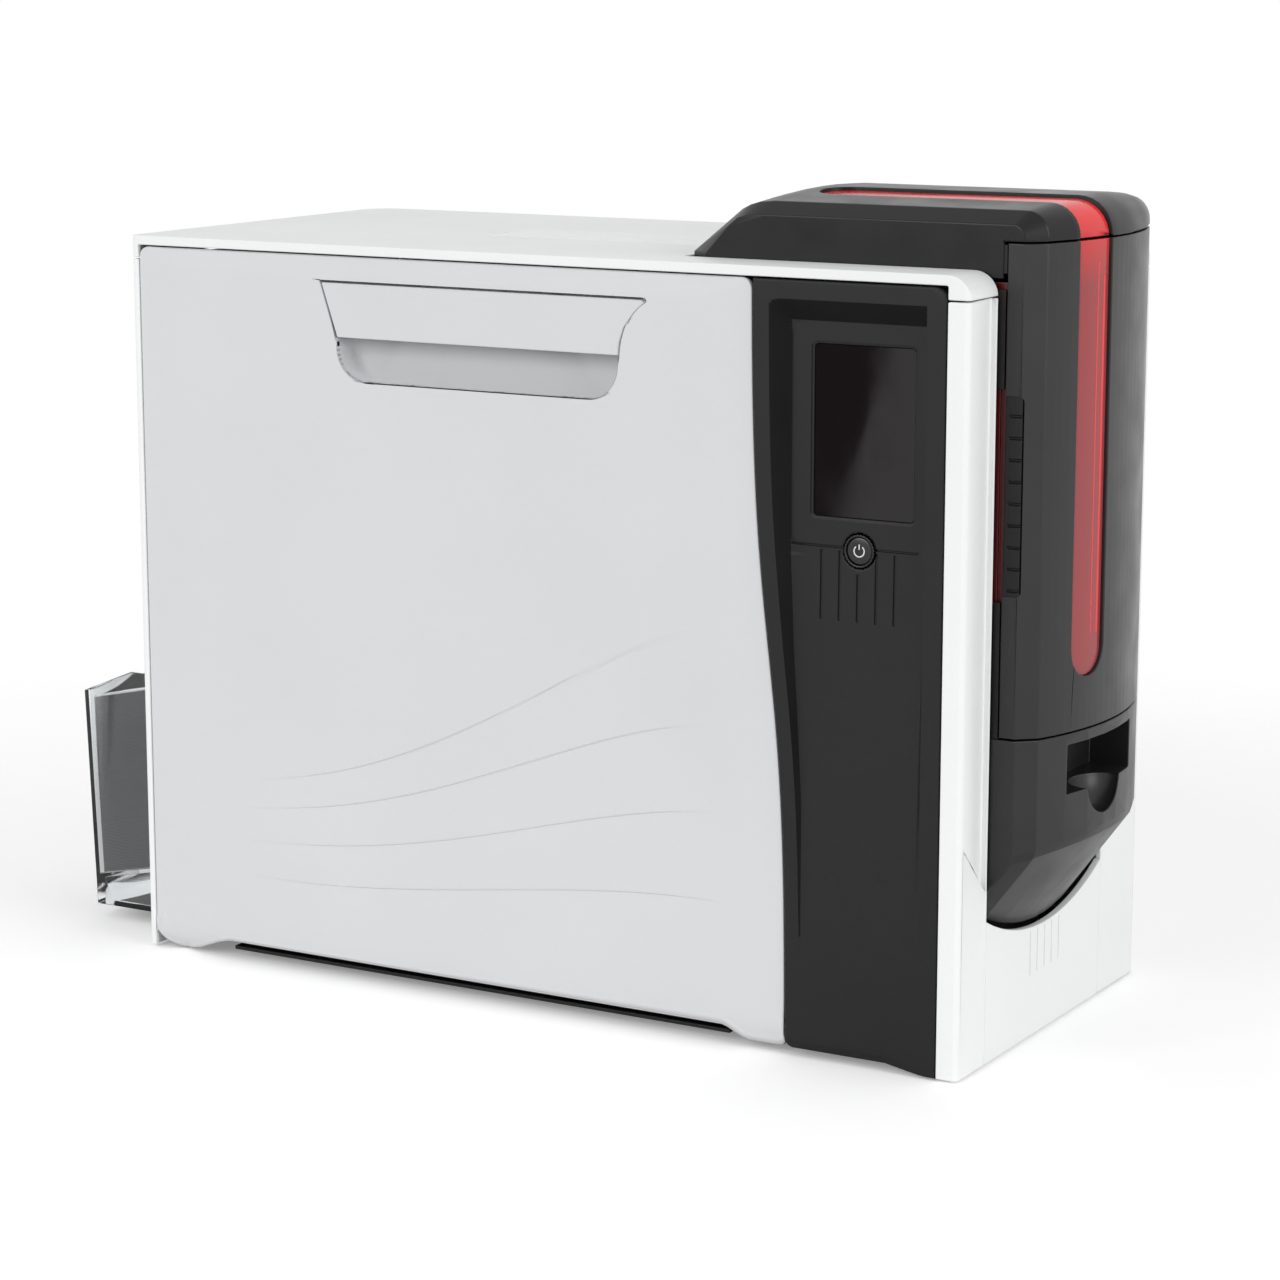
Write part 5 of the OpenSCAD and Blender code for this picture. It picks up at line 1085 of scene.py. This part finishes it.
@dataclass
class ControlPanel(Assembly):
    """Black panel with its recess, screen and power button."""

    face: float = -105.0
    front: float = 224.2
    top: float = 344.7
    depth: float = 5.0
    recess: tuple[float, float] = (215.2, 336.5)
    screen: tuple[float, float, float, float] = (160.2, 207.7, 243.5, 317.5)
    screen_corner: float = 1.8
    button: tuple[float, float] = (182.4, 229.3)
    grooves: tuple[float, ...] = (164.2, 172.98, 181.76, 190.54, 199.32)

    def slope_lines(self, z: np.ndarray) -> tuple[np.ndarray, np.ndarray]:
        """X of the left slope's outer and inner line at height z, at least 0.6 mm apart."""
        outer = swept_edge(z) + np.interp(z, [60, 179, 209, 330], [7.4, 7.5, 8.0, 8.4])
        inner = np.interp(z, [60, 115, 185, 232], [158, 157, 151.5, 149])
        return outer, np.maximum(inner, outer + 0.6)

    def hollow(self, x: np.ndarray, z: np.ndarray) -> np.ndarray:
        """How far the face is set back: mitred recess, screen seat, button hole, step line and five grooves.

        Args:
            x: Place along the panel in mm.
            z: Height in mm.

        Returns:
            The depth in mm.
        """
        outer, inner = self.slope_lines(z)
        deep = self.depth * ease(z, 40, 235) ** 0.8
        left = np.clip((x - outer) / (inner - outer), 0, 1)
        right = np.clip((self.recess[0] - x) / 2.2, 0, 1)
        upper = np.clip((self.recess[1] - z) / 9.1, 0, 1)
        corner = ((1 - left) ** 4 + (1 - upper) ** 4) ** 0.25
        depth = deep * np.minimum(np.clip(1 - corner, 0, 1), right)
        away = np.hypot(x - self.button[0], z - self.button[1])
        line = box_depth(x, z, (149.6, 210.5, 229.9, 230.7), 0.35, 0.5)
        bezel = box_depth(x, z, (149.4, 260.0, 230.3, 326.6), 3.4, 0.6)
        depth = depth + 0.35 * (1 - bezel) * (z > 226) * (z < 326.6) * (x > 146) * (x < 153) + 0.7 * line
        low = np.where(np.arange(5) == 2, 219.0, 228.6)
        for groove, high in zip(self.grooves, low):
            depth = depth + 0.75 * box_depth(x, z, (groove - 0.5, groove + 0.5, 198.0, high), 0.45, 0.45)
        x0, x1, z0, z1 = self.screen
        for wide, drop, radius, edge in ((1.1, 0.35, 2.6, 1.0), (0.15, 2.6, 1.8, 0.3)):
            seat = (x0 - wide, x1 + wide, z0 - wide, z1 + wide)
            depth = depth + drop * box_depth(x, z, seat, radius, edge)
        return depth + 6.0 * ease(away, 7.75, 7.45) + 0.25 * ease(away, 8.7, 7.9)

    def build_face(self) -> None:
        """Makes the face as a grid of depths, with columns along the swept edge and rows level; its recess's top
        and left slopes get a darker black as painted shade.
        """
        z = spaced(1.0, self.top, 2.6, (345, 336.5, 327.4, 316.9, 318.8, 244.1, 242.3, 230.3, 228.6, 219, 198, 1),
                   (0.25, 0.5, 0.8, 1.3, 2.0))
        z = np.unique(np.concatenate([z, np.arange(219.5, 239.5, 0.6)]))
        marks = (*self.grooves, *self.screen[:2], 211.0, 213.0, 215.2, 224.2)
        columns = spaced(159.6, self.front, 2.2, marks, (0.3, 0.6, 1.1))
        columns = np.unique(np.concatenate([columns, np.arange(173.4, 191.6, 0.6)]))
        rows = z[:, None]
        outer, inner = self.slope_lines(rows)
        x = np.concatenate([swept_edge(rows) + np.array([0.4, 0.5, 0.7, 1.1, 2, 4, 6, 7]),
                            outer + np.linspace(0, 1, 9) * (inner - outer),
                            inner + np.array([0.04, 0.1, 0.3, 0.6, 0.8, 0.9, 0.95]) * (159.6 - inner),
                            np.broadcast_to(columns, (len(z), len(columns)))], 1)
        low = np.interp(x, [150, 153, 200, 212, 219, 224.2], [7.2, 4.2, 4.2, 2.0, 1.0, 1.0])
        corner = np.clip((x - (self.front - 5.5)) / 5.5, 0, 1)
        high = self.top - 5.5 * (1 - np.sqrt(1 - corner ** 2))
        zz = np.clip(np.broadcast_to(rows, x.shape), low, high)
        rim = np.minimum(np.minimum(x - swept_edge(zz) - 0.4, self.front - x), np.minimum(high - zz, zz - low))
        points = np.stack([x, self.face + self.hollow(x, zz) + roll(rim, 0.7), zz], -1)
        sheet = Sheets()
        sheet.grid(boxed(points, 1, self.face + 3.0) * MM)
        panel = sheet.make("panel_face", (0, -1, 0), 40.0)
        self.wear(panel, Look.PANEL, "casing", "panel_black", ("control_panel",))
        # Painted shade: the recess's top slope, facing down, and its left slope take the darker black.
        panel.data.materials.append(finish(Look.PANEL_SLOPE_SHADE))
        count = len(panel.data.polygons)
        normal, centre = np.zeros(count * 3), np.zeros(count * 3)
        panel.data.polygons.foreach_get("normal", normal)
        panel.data.polygons.foreach_get("center", centre)
        nx, _, nz = normal.reshape(-1, 3).T
        cx, cy, cz = centre.reshape(-1, 3).T / MM
        from_edge = cx - swept_edge(cz)
        shaded_top_slope = (nz < -0.2) & (cz > 326.8) & (cz < 336.8) & (cy > self.face + 0.02)
        shaded_side_slope = (nx > 0.04) & (from_edge > 7) & (cx < 159) & (cz > 55) & (cy > self.face + 0.02)
        panel.data.polygons.foreach_set("material_index", (shaded_top_slope | shaded_side_slope).astype(np.int32))

    def build_glass(self) -> None:
        """Makes the screen's glass: a flat plate with round corners, its rings shares of the outline."""
        x0, x1, z0, z1 = self.screen
        radius = self.screen_corner
        centre = np.array([(x0 + x1) / 2, (z0 + z1) / 2])
        ring = round_corners(np.array([[x1, z1], [x0, z1], [x0, z0], [x1, z0]]), radius, np.array([radius]), 9)
        share = np.array([0.0, 0.5, 1.0, 1.0, 0.0])[:, None, None]
        rim = centre + (ring - centre) * share
        level = np.array([-99.2, -99.2, -99.2, -97.7, -97.7])[:, None]
        points = np.stack([rim[..., 0], np.broadcast_to(level, rim.shape[:2]), rim[..., 1]], -1)
        sheet = Sheets()
        sheet.grid(points * MM, round_v=True)
        self.stand_in(sheet.make("glass_plate", None, 25.0), Look.GLASS, "display_glass")

    def build_ring(self) -> None:
        """Makes the ring: a rounded section turned round the button's axis, its outer edge fluted 28 times.

        The radius is that of the section less a cosine of the turn, raised to the fourth power, on its
        outer front part.
        """
        turn = np.linspace(0, 2 * np.pi, 337)[:-1, None]
        round_off = np.linspace(np.pi, 0, 13)
        radius = np.concatenate([[6.25], 6.75 + 0.5 * np.cos(round_off), [7.25, 7.25, 6.25]])
        depth = np.concatenate([[-95.5], -100.05 - 0.45 * np.sin(round_off), [-98.0, -94.5, -94.5]])
        outer = ease(radius, 6.7, 7.1) * ease(depth, -97.4, -98.6)
        reach = radius[None, :] - 0.3 * outer[None, :] * np.maximum(np.cos(28 * turn), 0) ** 2
        x = self.button[0] + reach * np.cos(turn)
        z = self.button[1] + reach * np.sin(turn)
        sheet = Sheets()
        sheet.grid(np.stack([x, np.broadcast_to(depth, x.shape), z], -1) * MM, round_u=True, round_v=True)
        self.stand_in(sheet.make("ring_fluted", None, 50.0), Look.RING, "button_ring")

    def dome(self, x: np.ndarray, z: np.ndarray) -> np.ndarray:
        """Y of the button's face: highest in the middle, 0.5 mm lower at its rim, as the radius squared."""
        return -100.25 + 0.5 * ((x - self.button[0]) ** 2 + (z - self.button[1]) ** 2) / 36.0

    def build_button(self) -> None:
        """Makes the domed button and, laid 0.05 mm on it, the plain on and off sign: a broken ring and a bar."""
        turn = np.linspace(0, 2 * np.pi, 97)[:-1, None]
        radius = np.concatenate([np.linspace(0, 5.6, 12), [5.8, 5.9, 5.9, 5.9, 0]])
        x = self.button[0] + radius[None, :] * np.cos(turn)
        z = self.button[1] + radius[None, :] * np.sin(turn)
        y = self.dome(x, z)
        y[:, 12:] += np.array([0.06, 0.25, 2.0, 0, 0])
        y[:, -2:] = -95.9
        cap = Sheets()
        cap.grid(np.stack([x, y, z], -1) * MM, round_u=True)
        self.stand_in(cap.make("button_cap", None, 50.0), Look.BUTTON, "power_button")
        arc = np.radians(np.linspace(128, 412, 49))[:, None]
        width = np.linspace(2.15, 2.7, 4)[None, :]
        across, up = np.meshgrid(np.linspace(-0.28, 0.28, 3), np.linspace(0.7, 3.0, 7), indexing="ij")
        mark = Sheets()
        for mx, mz in ((width * np.cos(arc), width * np.sin(arc)), (across, up)):
            mx, mz = mx + self.button[0], mz + self.button[1]
            mark.grid(np.stack([mx, self.dome(mx, mz) - 0.05, mz], -1) * MM)
        sign = mark.make("button_mark", (0, -1, 0))
        thicken(sign, 0.1)
        self.wear(sign, Look.MARK, self.bodies["power_button"], self.slots["power_button"])

    def build(self) -> None:
        """Dresses the panel, the screen and the button."""
        self.build_face()
        self.build_ring()
        self.build_button()
        self.build_glass()
        self.dress(("display_module", Look.MODULE, 0.3), ("button_board", Look.BOARD, 0.15))


@dataclass
class Feeder(Assembly):
    """Hood, front cover and chin, with the magazine, its grip, the dial and the cards inside."""

    grip: tuple[float, float, float, float] = (238.4, 246.4, 205.0, 303.0)
    grip_face: float = -75.5
    grip_step: float = 9.4
    ribs: tuple[tuple[float, float, float], ...] = ((-33.4, 1.0, 352.0), (-28.2, 1.8, 346.0))
    rib_foot: float = 190.0
    reach: tuple[float, float] = (148.05, 265.0)
    stop: tuple[float, float, float, float] = (236.2, -75.0, 349.0, 361.0)
    stop_half: tuple[float, float] = (1.9, 0.55)

    def build_grip(self) -> None:
        """Makes the magazine's ribbed grip: a rounded plate whose face has a groove at every step of height."""
        x0, x1, z0, z1 = self.grip
        marks = tuple(np.arange(z0 + 8.5, z1 - 2, self.grip_step).tolist())
        z = spaced(z0, z1, 2.0, (*marks, z0, z1), (0.25, 0.5, 0.8))
        x = spaced(x0, x1, 0.8, (x0, x1, x0 + 1.9), (0.25, 0.5, 0.8))
        zz, xx = np.meshgrid(z, x, indexing="ij")
        dent = np.zeros_like(xx)
        for mark in marks:
            dent = dent + 0.8 * box_depth(xx, zz, (x0 + 1.9, x1 + 3, mark - 0.5, mark + 0.5), 0.4, 0.4)
        rim = np.minimum(np.minimum(xx - x0, x1 - xx), np.minimum(zz - z0, z1 - zz))
        dent = dent + roll(rim, 0.7)
        sheet = Sheets()
        sheet.grid(boxed(np.stack([xx, self.grip_face + dent, zz], -1), 1, -73.0) * MM)
        self.stand_in(sheet.make("grip_ribbed", (0, -1, 0), 45.0), Look.FRAME, "magazine_grip")

    def build_light_stop(self) -> None:
        """Makes the light stop, a thin closed bar behind the notch where the hood meets the front cover.

        It isn't in the CAD and no casing piece touches it, so it hangs free when the hood is open. Its rings
        are shares of its square outline, drawn in to the middle at both ends.
        """
        x0, y0, low, high = self.stop
        turn = np.radians(np.array([45, 135, 225, 315]))
        share = np.array([0.0, 1.0, 1.0, 0.0])[:, None]
        x = x0 + share * self.stop_half[0] * math.sqrt(2) * np.sin(turn)
        y = y0 + share * self.stop_half[1] * math.sqrt(2) * np.cos(turn)
        z = np.broadcast_to(np.array([low, low, high, high])[:, None], x.shape)
        sheet = Sheets()
        sheet.grid(np.stack([x, y, z], -1) * MM, round_v=True)
        self.wear(sheet.make("light_stop", None, 20.0), Look.FRAME, self.bodies["feeder_frame"],
                  self.slots["feeder_frame"])

    def front_x(self, y: np.ndarray, sink: float) -> np.ndarray:
        """X of the feeder's round front at y, sunk by a depth: the root of the radius squared less y squared."""
        radius, apex = self.reach
        return apex - radius + np.sqrt((radius - sink) ** 2 - (y + 13.0) ** 2)

    def build_window_ribs(self) -> None:
        """Makes the two bright ribs that show in the front window, each a thin upright band on its face."""
        sheet = Sheets()
        for y, width, top in self.ribs:
            across = y + width * np.linspace(-0.5, 0.5, 7)
            up = np.linspace(self.rib_foot, top, 24)
            zz, yy = np.meshgrid(up, across, indexing="ij")
            arch = 0.12 * (1 - ((yy - y) / (width / 2)) ** 2)
            sheet.grid(np.stack([self.front_x(yy, 1.57) + arch, yy, zz], -1) * MM)
        self.wear(sheet.make("window_ribs", (1, 0, 0), 60.0), Look.RED_BRIGHT, self.bodies["front_window"],
                  self.slots["front_window"])

    def build(self) -> None:
        """Dresses the feeder's covers and what they hold."""
        self.soften("feeder_hood", Look.HOOD, 0.5, 18.0, bowed=True)
        self.soften("hood_window", Look.RED_CLEAR, 0.3)
        self.soften("front_door_cover", Look.FEEDER, 0.5, 18.0, bowed=True)
        self.soften("front_window", Look.RED_CLEAR, 0.3)
        self.soften("feeder_chin", Look.FEEDER, 0.5, 18.0, bowed=True)
        self.build_light_stop()
        self.dress(("feeder_frame", Look.FRAME, 0.4), ("hood_hinge_pin", Look.PIN, 0.2),
                   ("front_hinge_pin", Look.PIN, 0.2), ("card_magazine", Look.MAGAZINE, 0.3))
        self.build_grip()
        self.build_window_ribs()
        self.dress(("thickness_dial", Look.DIAL, 0.4), ("blank_cards", Look.CARD, 0.2),
                   ("card_weight", Look.WEIGHT, 0.5))


@dataclass
class CardPath(Assembly):
    """Rollers and guides that carry a card from the magazine to the hopper."""

    def build(self) -> None:
        """Dresses the rollers and the guides."""
        self.dress(("pick_roller", Look.ROLLER, 0.3), ("path_roller_front", Look.ROLLER, 0.3),
                   ("path_roller_rear", Look.ROLLER, 0.3), ("pinch_roller_front", Look.PIN, 0.3),
                   ("pinch_roller_rear", Look.PIN, 0.3), ("card_guides", Look.FRAME, 0.3))


@dataclass
class PrintUnit(Assembly):
    """Steel plates with the ribbon, the film, the print head and the transfer rollers."""

    def build(self) -> None:
        """Dresses the plates and what they carry."""
        for node, look, edge in (("chassis_plate", Look.STEEL, 0.2), ("bearing_plate", Look.STEEL, 0.2),
                                 ("ribbon_cassette", Look.CASSETTE, 0.4)):
            self.soften(node, look, edge, joined=True)
        self.dress(("ribbon_supply_spool", Look.SPOOL_RIBBON, 0.3),
                   ("ribbon_takeup_spool", Look.SPOOL_RIBBON, 0.3),
                   ("ribbon_web", Look.WEB_RIBBON, 0.02), ("film_supply_spool", Look.SPOOL_FILM, 0.3),
                   ("film_takeup_spool", Look.SPOOL_FILM, 0.3), ("film_web", Look.WEB_FILM, 0.02),
                   ("platen_roller", Look.ROLLER, 0.3), ("printhead", Look.HEAD, 0.3),
                   ("transfer_roller", Look.HOT_ROLLER, 0.3), ("pressure_roller", Look.ROLLER, 0.3),
                   ("motor_bracket", Look.STEEL, 0.2), ("drive_motors", Look.MOTOR, 0.5),
                   ("drive_pinion", Look.BRASS, 0.15))


@dataclass
class Electronics(Assembly):
    """Main board, power supply, sockets and fan."""

    def build(self) -> None:
        """Dresses the boards, the supply, the sockets and the fan."""
        self.dress(("main_board", Look.BOARD, 0.15), ("power_supply", Look.SUPPLY, 0.4),
                   ("io_panel", Look.REAR_PANEL, 0.4), ("cooling_fan", Look.FAN, 0.4),
                   ("fan_rotor", Look.FAN, 0.2))


@dataclass
class Hopper(Assembly):
    """Clear output hopper and the printed cards in it."""

    card: tuple[float, float, float] = (85.6, 54.0, 0.76)
    corner: float = 3.2
    foot: tuple[float, float, float] = (-258.87, -44.0, 22.6)
    slope: float = 12.0
    lean: float = 2.4
    count: int = 119
    proud: tuple[int, ...] = (34, 50, 66, 86)

    def outline(self, inset: np.ndarray) -> np.ndarray:
        """Card outlines drawn in by an inset: four quarter circles joined by straight sides.

        Args:
            inset: Inset of each outline in mm.

        Returns:
            Place along and across the card, in mm from its lower short side and its middle.
        """
        long, half = self.card[0], self.card[1] / 2
        corners = np.array([[long, half], [0, half], [0, -half], [long, -half]])
        return round_corners(corners, self.corner, self.corner - inset, 6)

    def lay(self, flat: np.ndarray, height: np.ndarray) -> np.ndarray:
        """Lays outlines in the hopper: they slope with its floor and lean with its outer wall.

        Args:
            flat: Outlines, as places along and across the card.
            height: Height of each outline above the stack's foot in mm.

        Returns:
            The points in metres.
        """
        slope, lean = math.radians(self.slope), math.tan(math.radians(self.lean))
        x = self.foot[0] + flat[..., 0] * math.cos(slope) - height[:, None] * lean
        z = self.foot[2] + flat[..., 0] * math.sin(slope) + height[:, None]
        return np.stack([x, self.foot[1] + flat[..., 1], z], -1) * MM

    def build_stack(self) -> None:
        """Makes the printed cards as one skin: each card's side is full and its edges are drawn in."""
        pitch = 91.0 / (self.count + 1)
        card = np.repeat(np.arange(self.count), 4)
        level = (card + np.tile([0.0, 0.16, 0.84, 1.0], self.count)) * pitch
        inset = np.tile([0.3, 0.0, 0.0, 0.3], self.count)
        ring = self.outline(np.concatenate([[self.corner - 0.01], inset, [self.corner - 0.01]]))
        jitter = np.random.default_rng(4).uniform(-0.06, 0.06, self.count)
        jitter[list(self.proud)] = -0.28
        ring[1:-1, :, 1] += jitter[card][:, None]
        level = np.concatenate([[level[0]], level, [level[-1]]])
        stack = Sheets()
        stack.grid(self.lay(ring, level), round_v=True)
        self.stand_in(stack.make("card_stack", None, 25.0), Look.CARD_EDGE, "printed_cards")
        ring = self.outline(np.array([self.corner - 0.01, 0.08, 0.0, 0.0, 0.08, self.corner - 0.01]))
        level = self.count * pitch + np.array([0.03, 0.03, 0.12, 0.65, 0.74, 0.74])
        face = Sheets()
        face.grid(self.lay(ring, level), round_v=True)
        self.wear(face.make("card_top", None, 25.0), Look.CARD_FACE, self.bodies["printed_cards"],
                  self.slots["printed_cards"])

    def build(self) -> None:
        """Dresses the hopper and the cards."""
        self.soften("output_hopper", Look.CLEAR, 0.4)
        self.build_stack()


# ---------------------------------------------------------------- studio


@dataclass
class Studio:
    """Camera at the photograph's angle, plain pale floor, soft lamps and a white world."""

    camera_at: tuple[float, float, float] = (0.8514, -1.4470, 0.4823)
    azimuth: float = 30.0
    elevation: float = 11.0
    lens: float = 99.7

    def build(self) -> None:
        """Makes the camera, the floor, the lamps and the world."""
        self.camera()
        self.floor()
        self.lamp("key", (-0.7, -2.6, 1.3), 1.6, 27.0)
        self.lamp("side", (2.5, -0.5, 1.0), 1.4, 20.0)
        self.flag()
        self.world()
        bpy.context.scene.view_settings.view_transform = "Standard"

    def camera(self) -> None:
        """Puts the camera where its azimuth, elevation and lens say, looking along the view line."""
        data = bpy.data.cameras.new("view")
        data.lens = self.lens
        data.sensor_width = 36.0
        data.clip_start = 0.05
        obj = bpy.data.objects.new("view", data)
        bpy.context.scene.collection.objects.link(obj)
        az, el = math.radians(self.azimuth), math.radians(self.elevation)
        back = Vector((math.sin(az) * math.cos(el), -math.cos(az) * math.cos(el), math.sin(el)))
        obj.location = self.camera_at
        obj.rotation_euler = back.to_track_quat("Z", "Y").to_euler()
        bpy.context.scene.camera = obj

    def floor(self) -> None:
        """Makes a pale floor that keeps the printer's shadow and thins out to the white world around it."""
        u = np.linspace(-1.6, 1.6, 25)
        x, y = np.meshgrid(u, u, indexing="ij")
        sheet = Sheets()
        sheet.grid(np.stack([x, y, np.zeros_like(x)], -1))
        obj = sheet.make("floor", (0, 0, 1))
        look = NodeSheet("pale_floor")
        look.set(Roughness=0.9, Specular_IOR_Level=0.1)
        away = look.add("ShaderNodeVectorMath", operation="LENGTH")
        look.join(look.place, away.inputs[0])
        seen = look.add("ShaderNodeLightPath").outputs["Is Camera Ray"]
        look.feed(Base_Color=look.blend(look.noise(2.0), tone(252, 252, 252), tone(254, 254, 254)),
                  Alpha=look.ramp(away.outputs["Value"], 0.42, 0.8, 1.0, 0.0),
                  Emission_Strength=look.math("MULTIPLY", seen, 0.22))
        obj.data.materials.append(look.material)

    def flag(self) -> None:
        """Stands a black flag beside the set, unseen by the camera, whose slanting edge the screen mirrors."""
        across, up = np.meshgrid(np.linspace(0, 1, 5), np.linspace(0, 1, 5), indexing="ij")
        z = -0.05 + 0.35 * up
        edge = -0.4395 + 0.2914 * z
        x = -0.62 + across * (edge + 0.62)
        sheet = Sheets()
        sheet.grid(np.stack([x, np.full_like(x, -1.3), z], -1))
        obj = sheet.make("flag_black", (0, 1, 0))
        look = NodeSheet("flag_cloth")
        look.set(Roughness=1.0, Specular_IOR_Level=0.0)
        look.feed(Base_Color=look.blend(look.noise(300.0), tone(4, 4, 4), tone(9, 9, 9)))
        obj.data.materials.append(look.material)
        obj.visible_camera = obj.visible_diffuse = obj.visible_shadow = False

    def lamp(self, name: str, at: tuple[float, float, float], size: float, power: float) -> None:
        """Adds a soft square lamp that looks at the printer.

        Args:
            name: Name of the lamp.
            at: Its place in metres.
            size: Side of the square in metres.
            power: Power in watts.
        """
        data = bpy.data.lights.new(name, "AREA")
        data.size = size
        data.energy = power
        obj = bpy.data.objects.new(name, data)
        bpy.context.scene.collection.objects.link(obj)
        obj.location = at
        obj.rotation_euler = (Vector(at) - Vector((0, 0, 0.18))).to_track_quat("Z", "Y").to_euler()

    def world(self) -> None:
        """Makes a world that is white to camera, glossy and transmission rays and plain soft light otherwise."""
        world = bpy.data.worlds.new("studio")
        bpy.context.scene.world = world
        world.use_nodes = True
        tree = world.node_tree
        tree.nodes.clear()
        kinds = ("OutputWorld", "LightPath", "MixShader")
        out, path, mix = (tree.nodes.new(f"ShaderNode{kind}") for kind in kinds)
        for slot, strength in ((1, 0.6), (2, 1.0)):
            light = tree.nodes.new("ShaderNodeBackground")
            light.inputs["Color"].default_value = (1, 1, 1, 1)
            light.inputs["Strength"].default_value = strength
            tree.links.new(light.outputs[0], mix.inputs[slot])
        seen = path.outputs["Is Camera Ray"]
        for ray in ("Is Glossy Ray", "Is Transmission Ray"):
            either = tree.nodes.new("ShaderNodeMath")
            either.operation = "MAXIMUM"
            tree.links.new(seen, either.inputs[0])
            tree.links.new(path.outputs[ray], either.inputs[1])
            seen = either.outputs[0]
        tree.links.new(seen, mix.inputs["Fac"])
        tree.links.new(mix.outputs[0], out.inputs["Surface"])


def main() -> None:
    """Builds the sub-assemblies in order, then the studio."""
    logging.basicConfig(level=logging.INFO, format="%(message)s")
    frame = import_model()
    record = frame["record"]
    slots = {part["node"]: part["material_slot"] for part in record["subparts"]}
    bodies = {node: body for body, members in record["behaviour"]["bodies"].items() for node in members}
    for kind in (Casing, SideDoor, ControlPanel, Feeder, CardPath, PrintUnit, Electronics, Hopper):
        kind(frame["nodes"], slots, bodies).build()
    Studio().build()


if __name__ == "__main__":
    main()
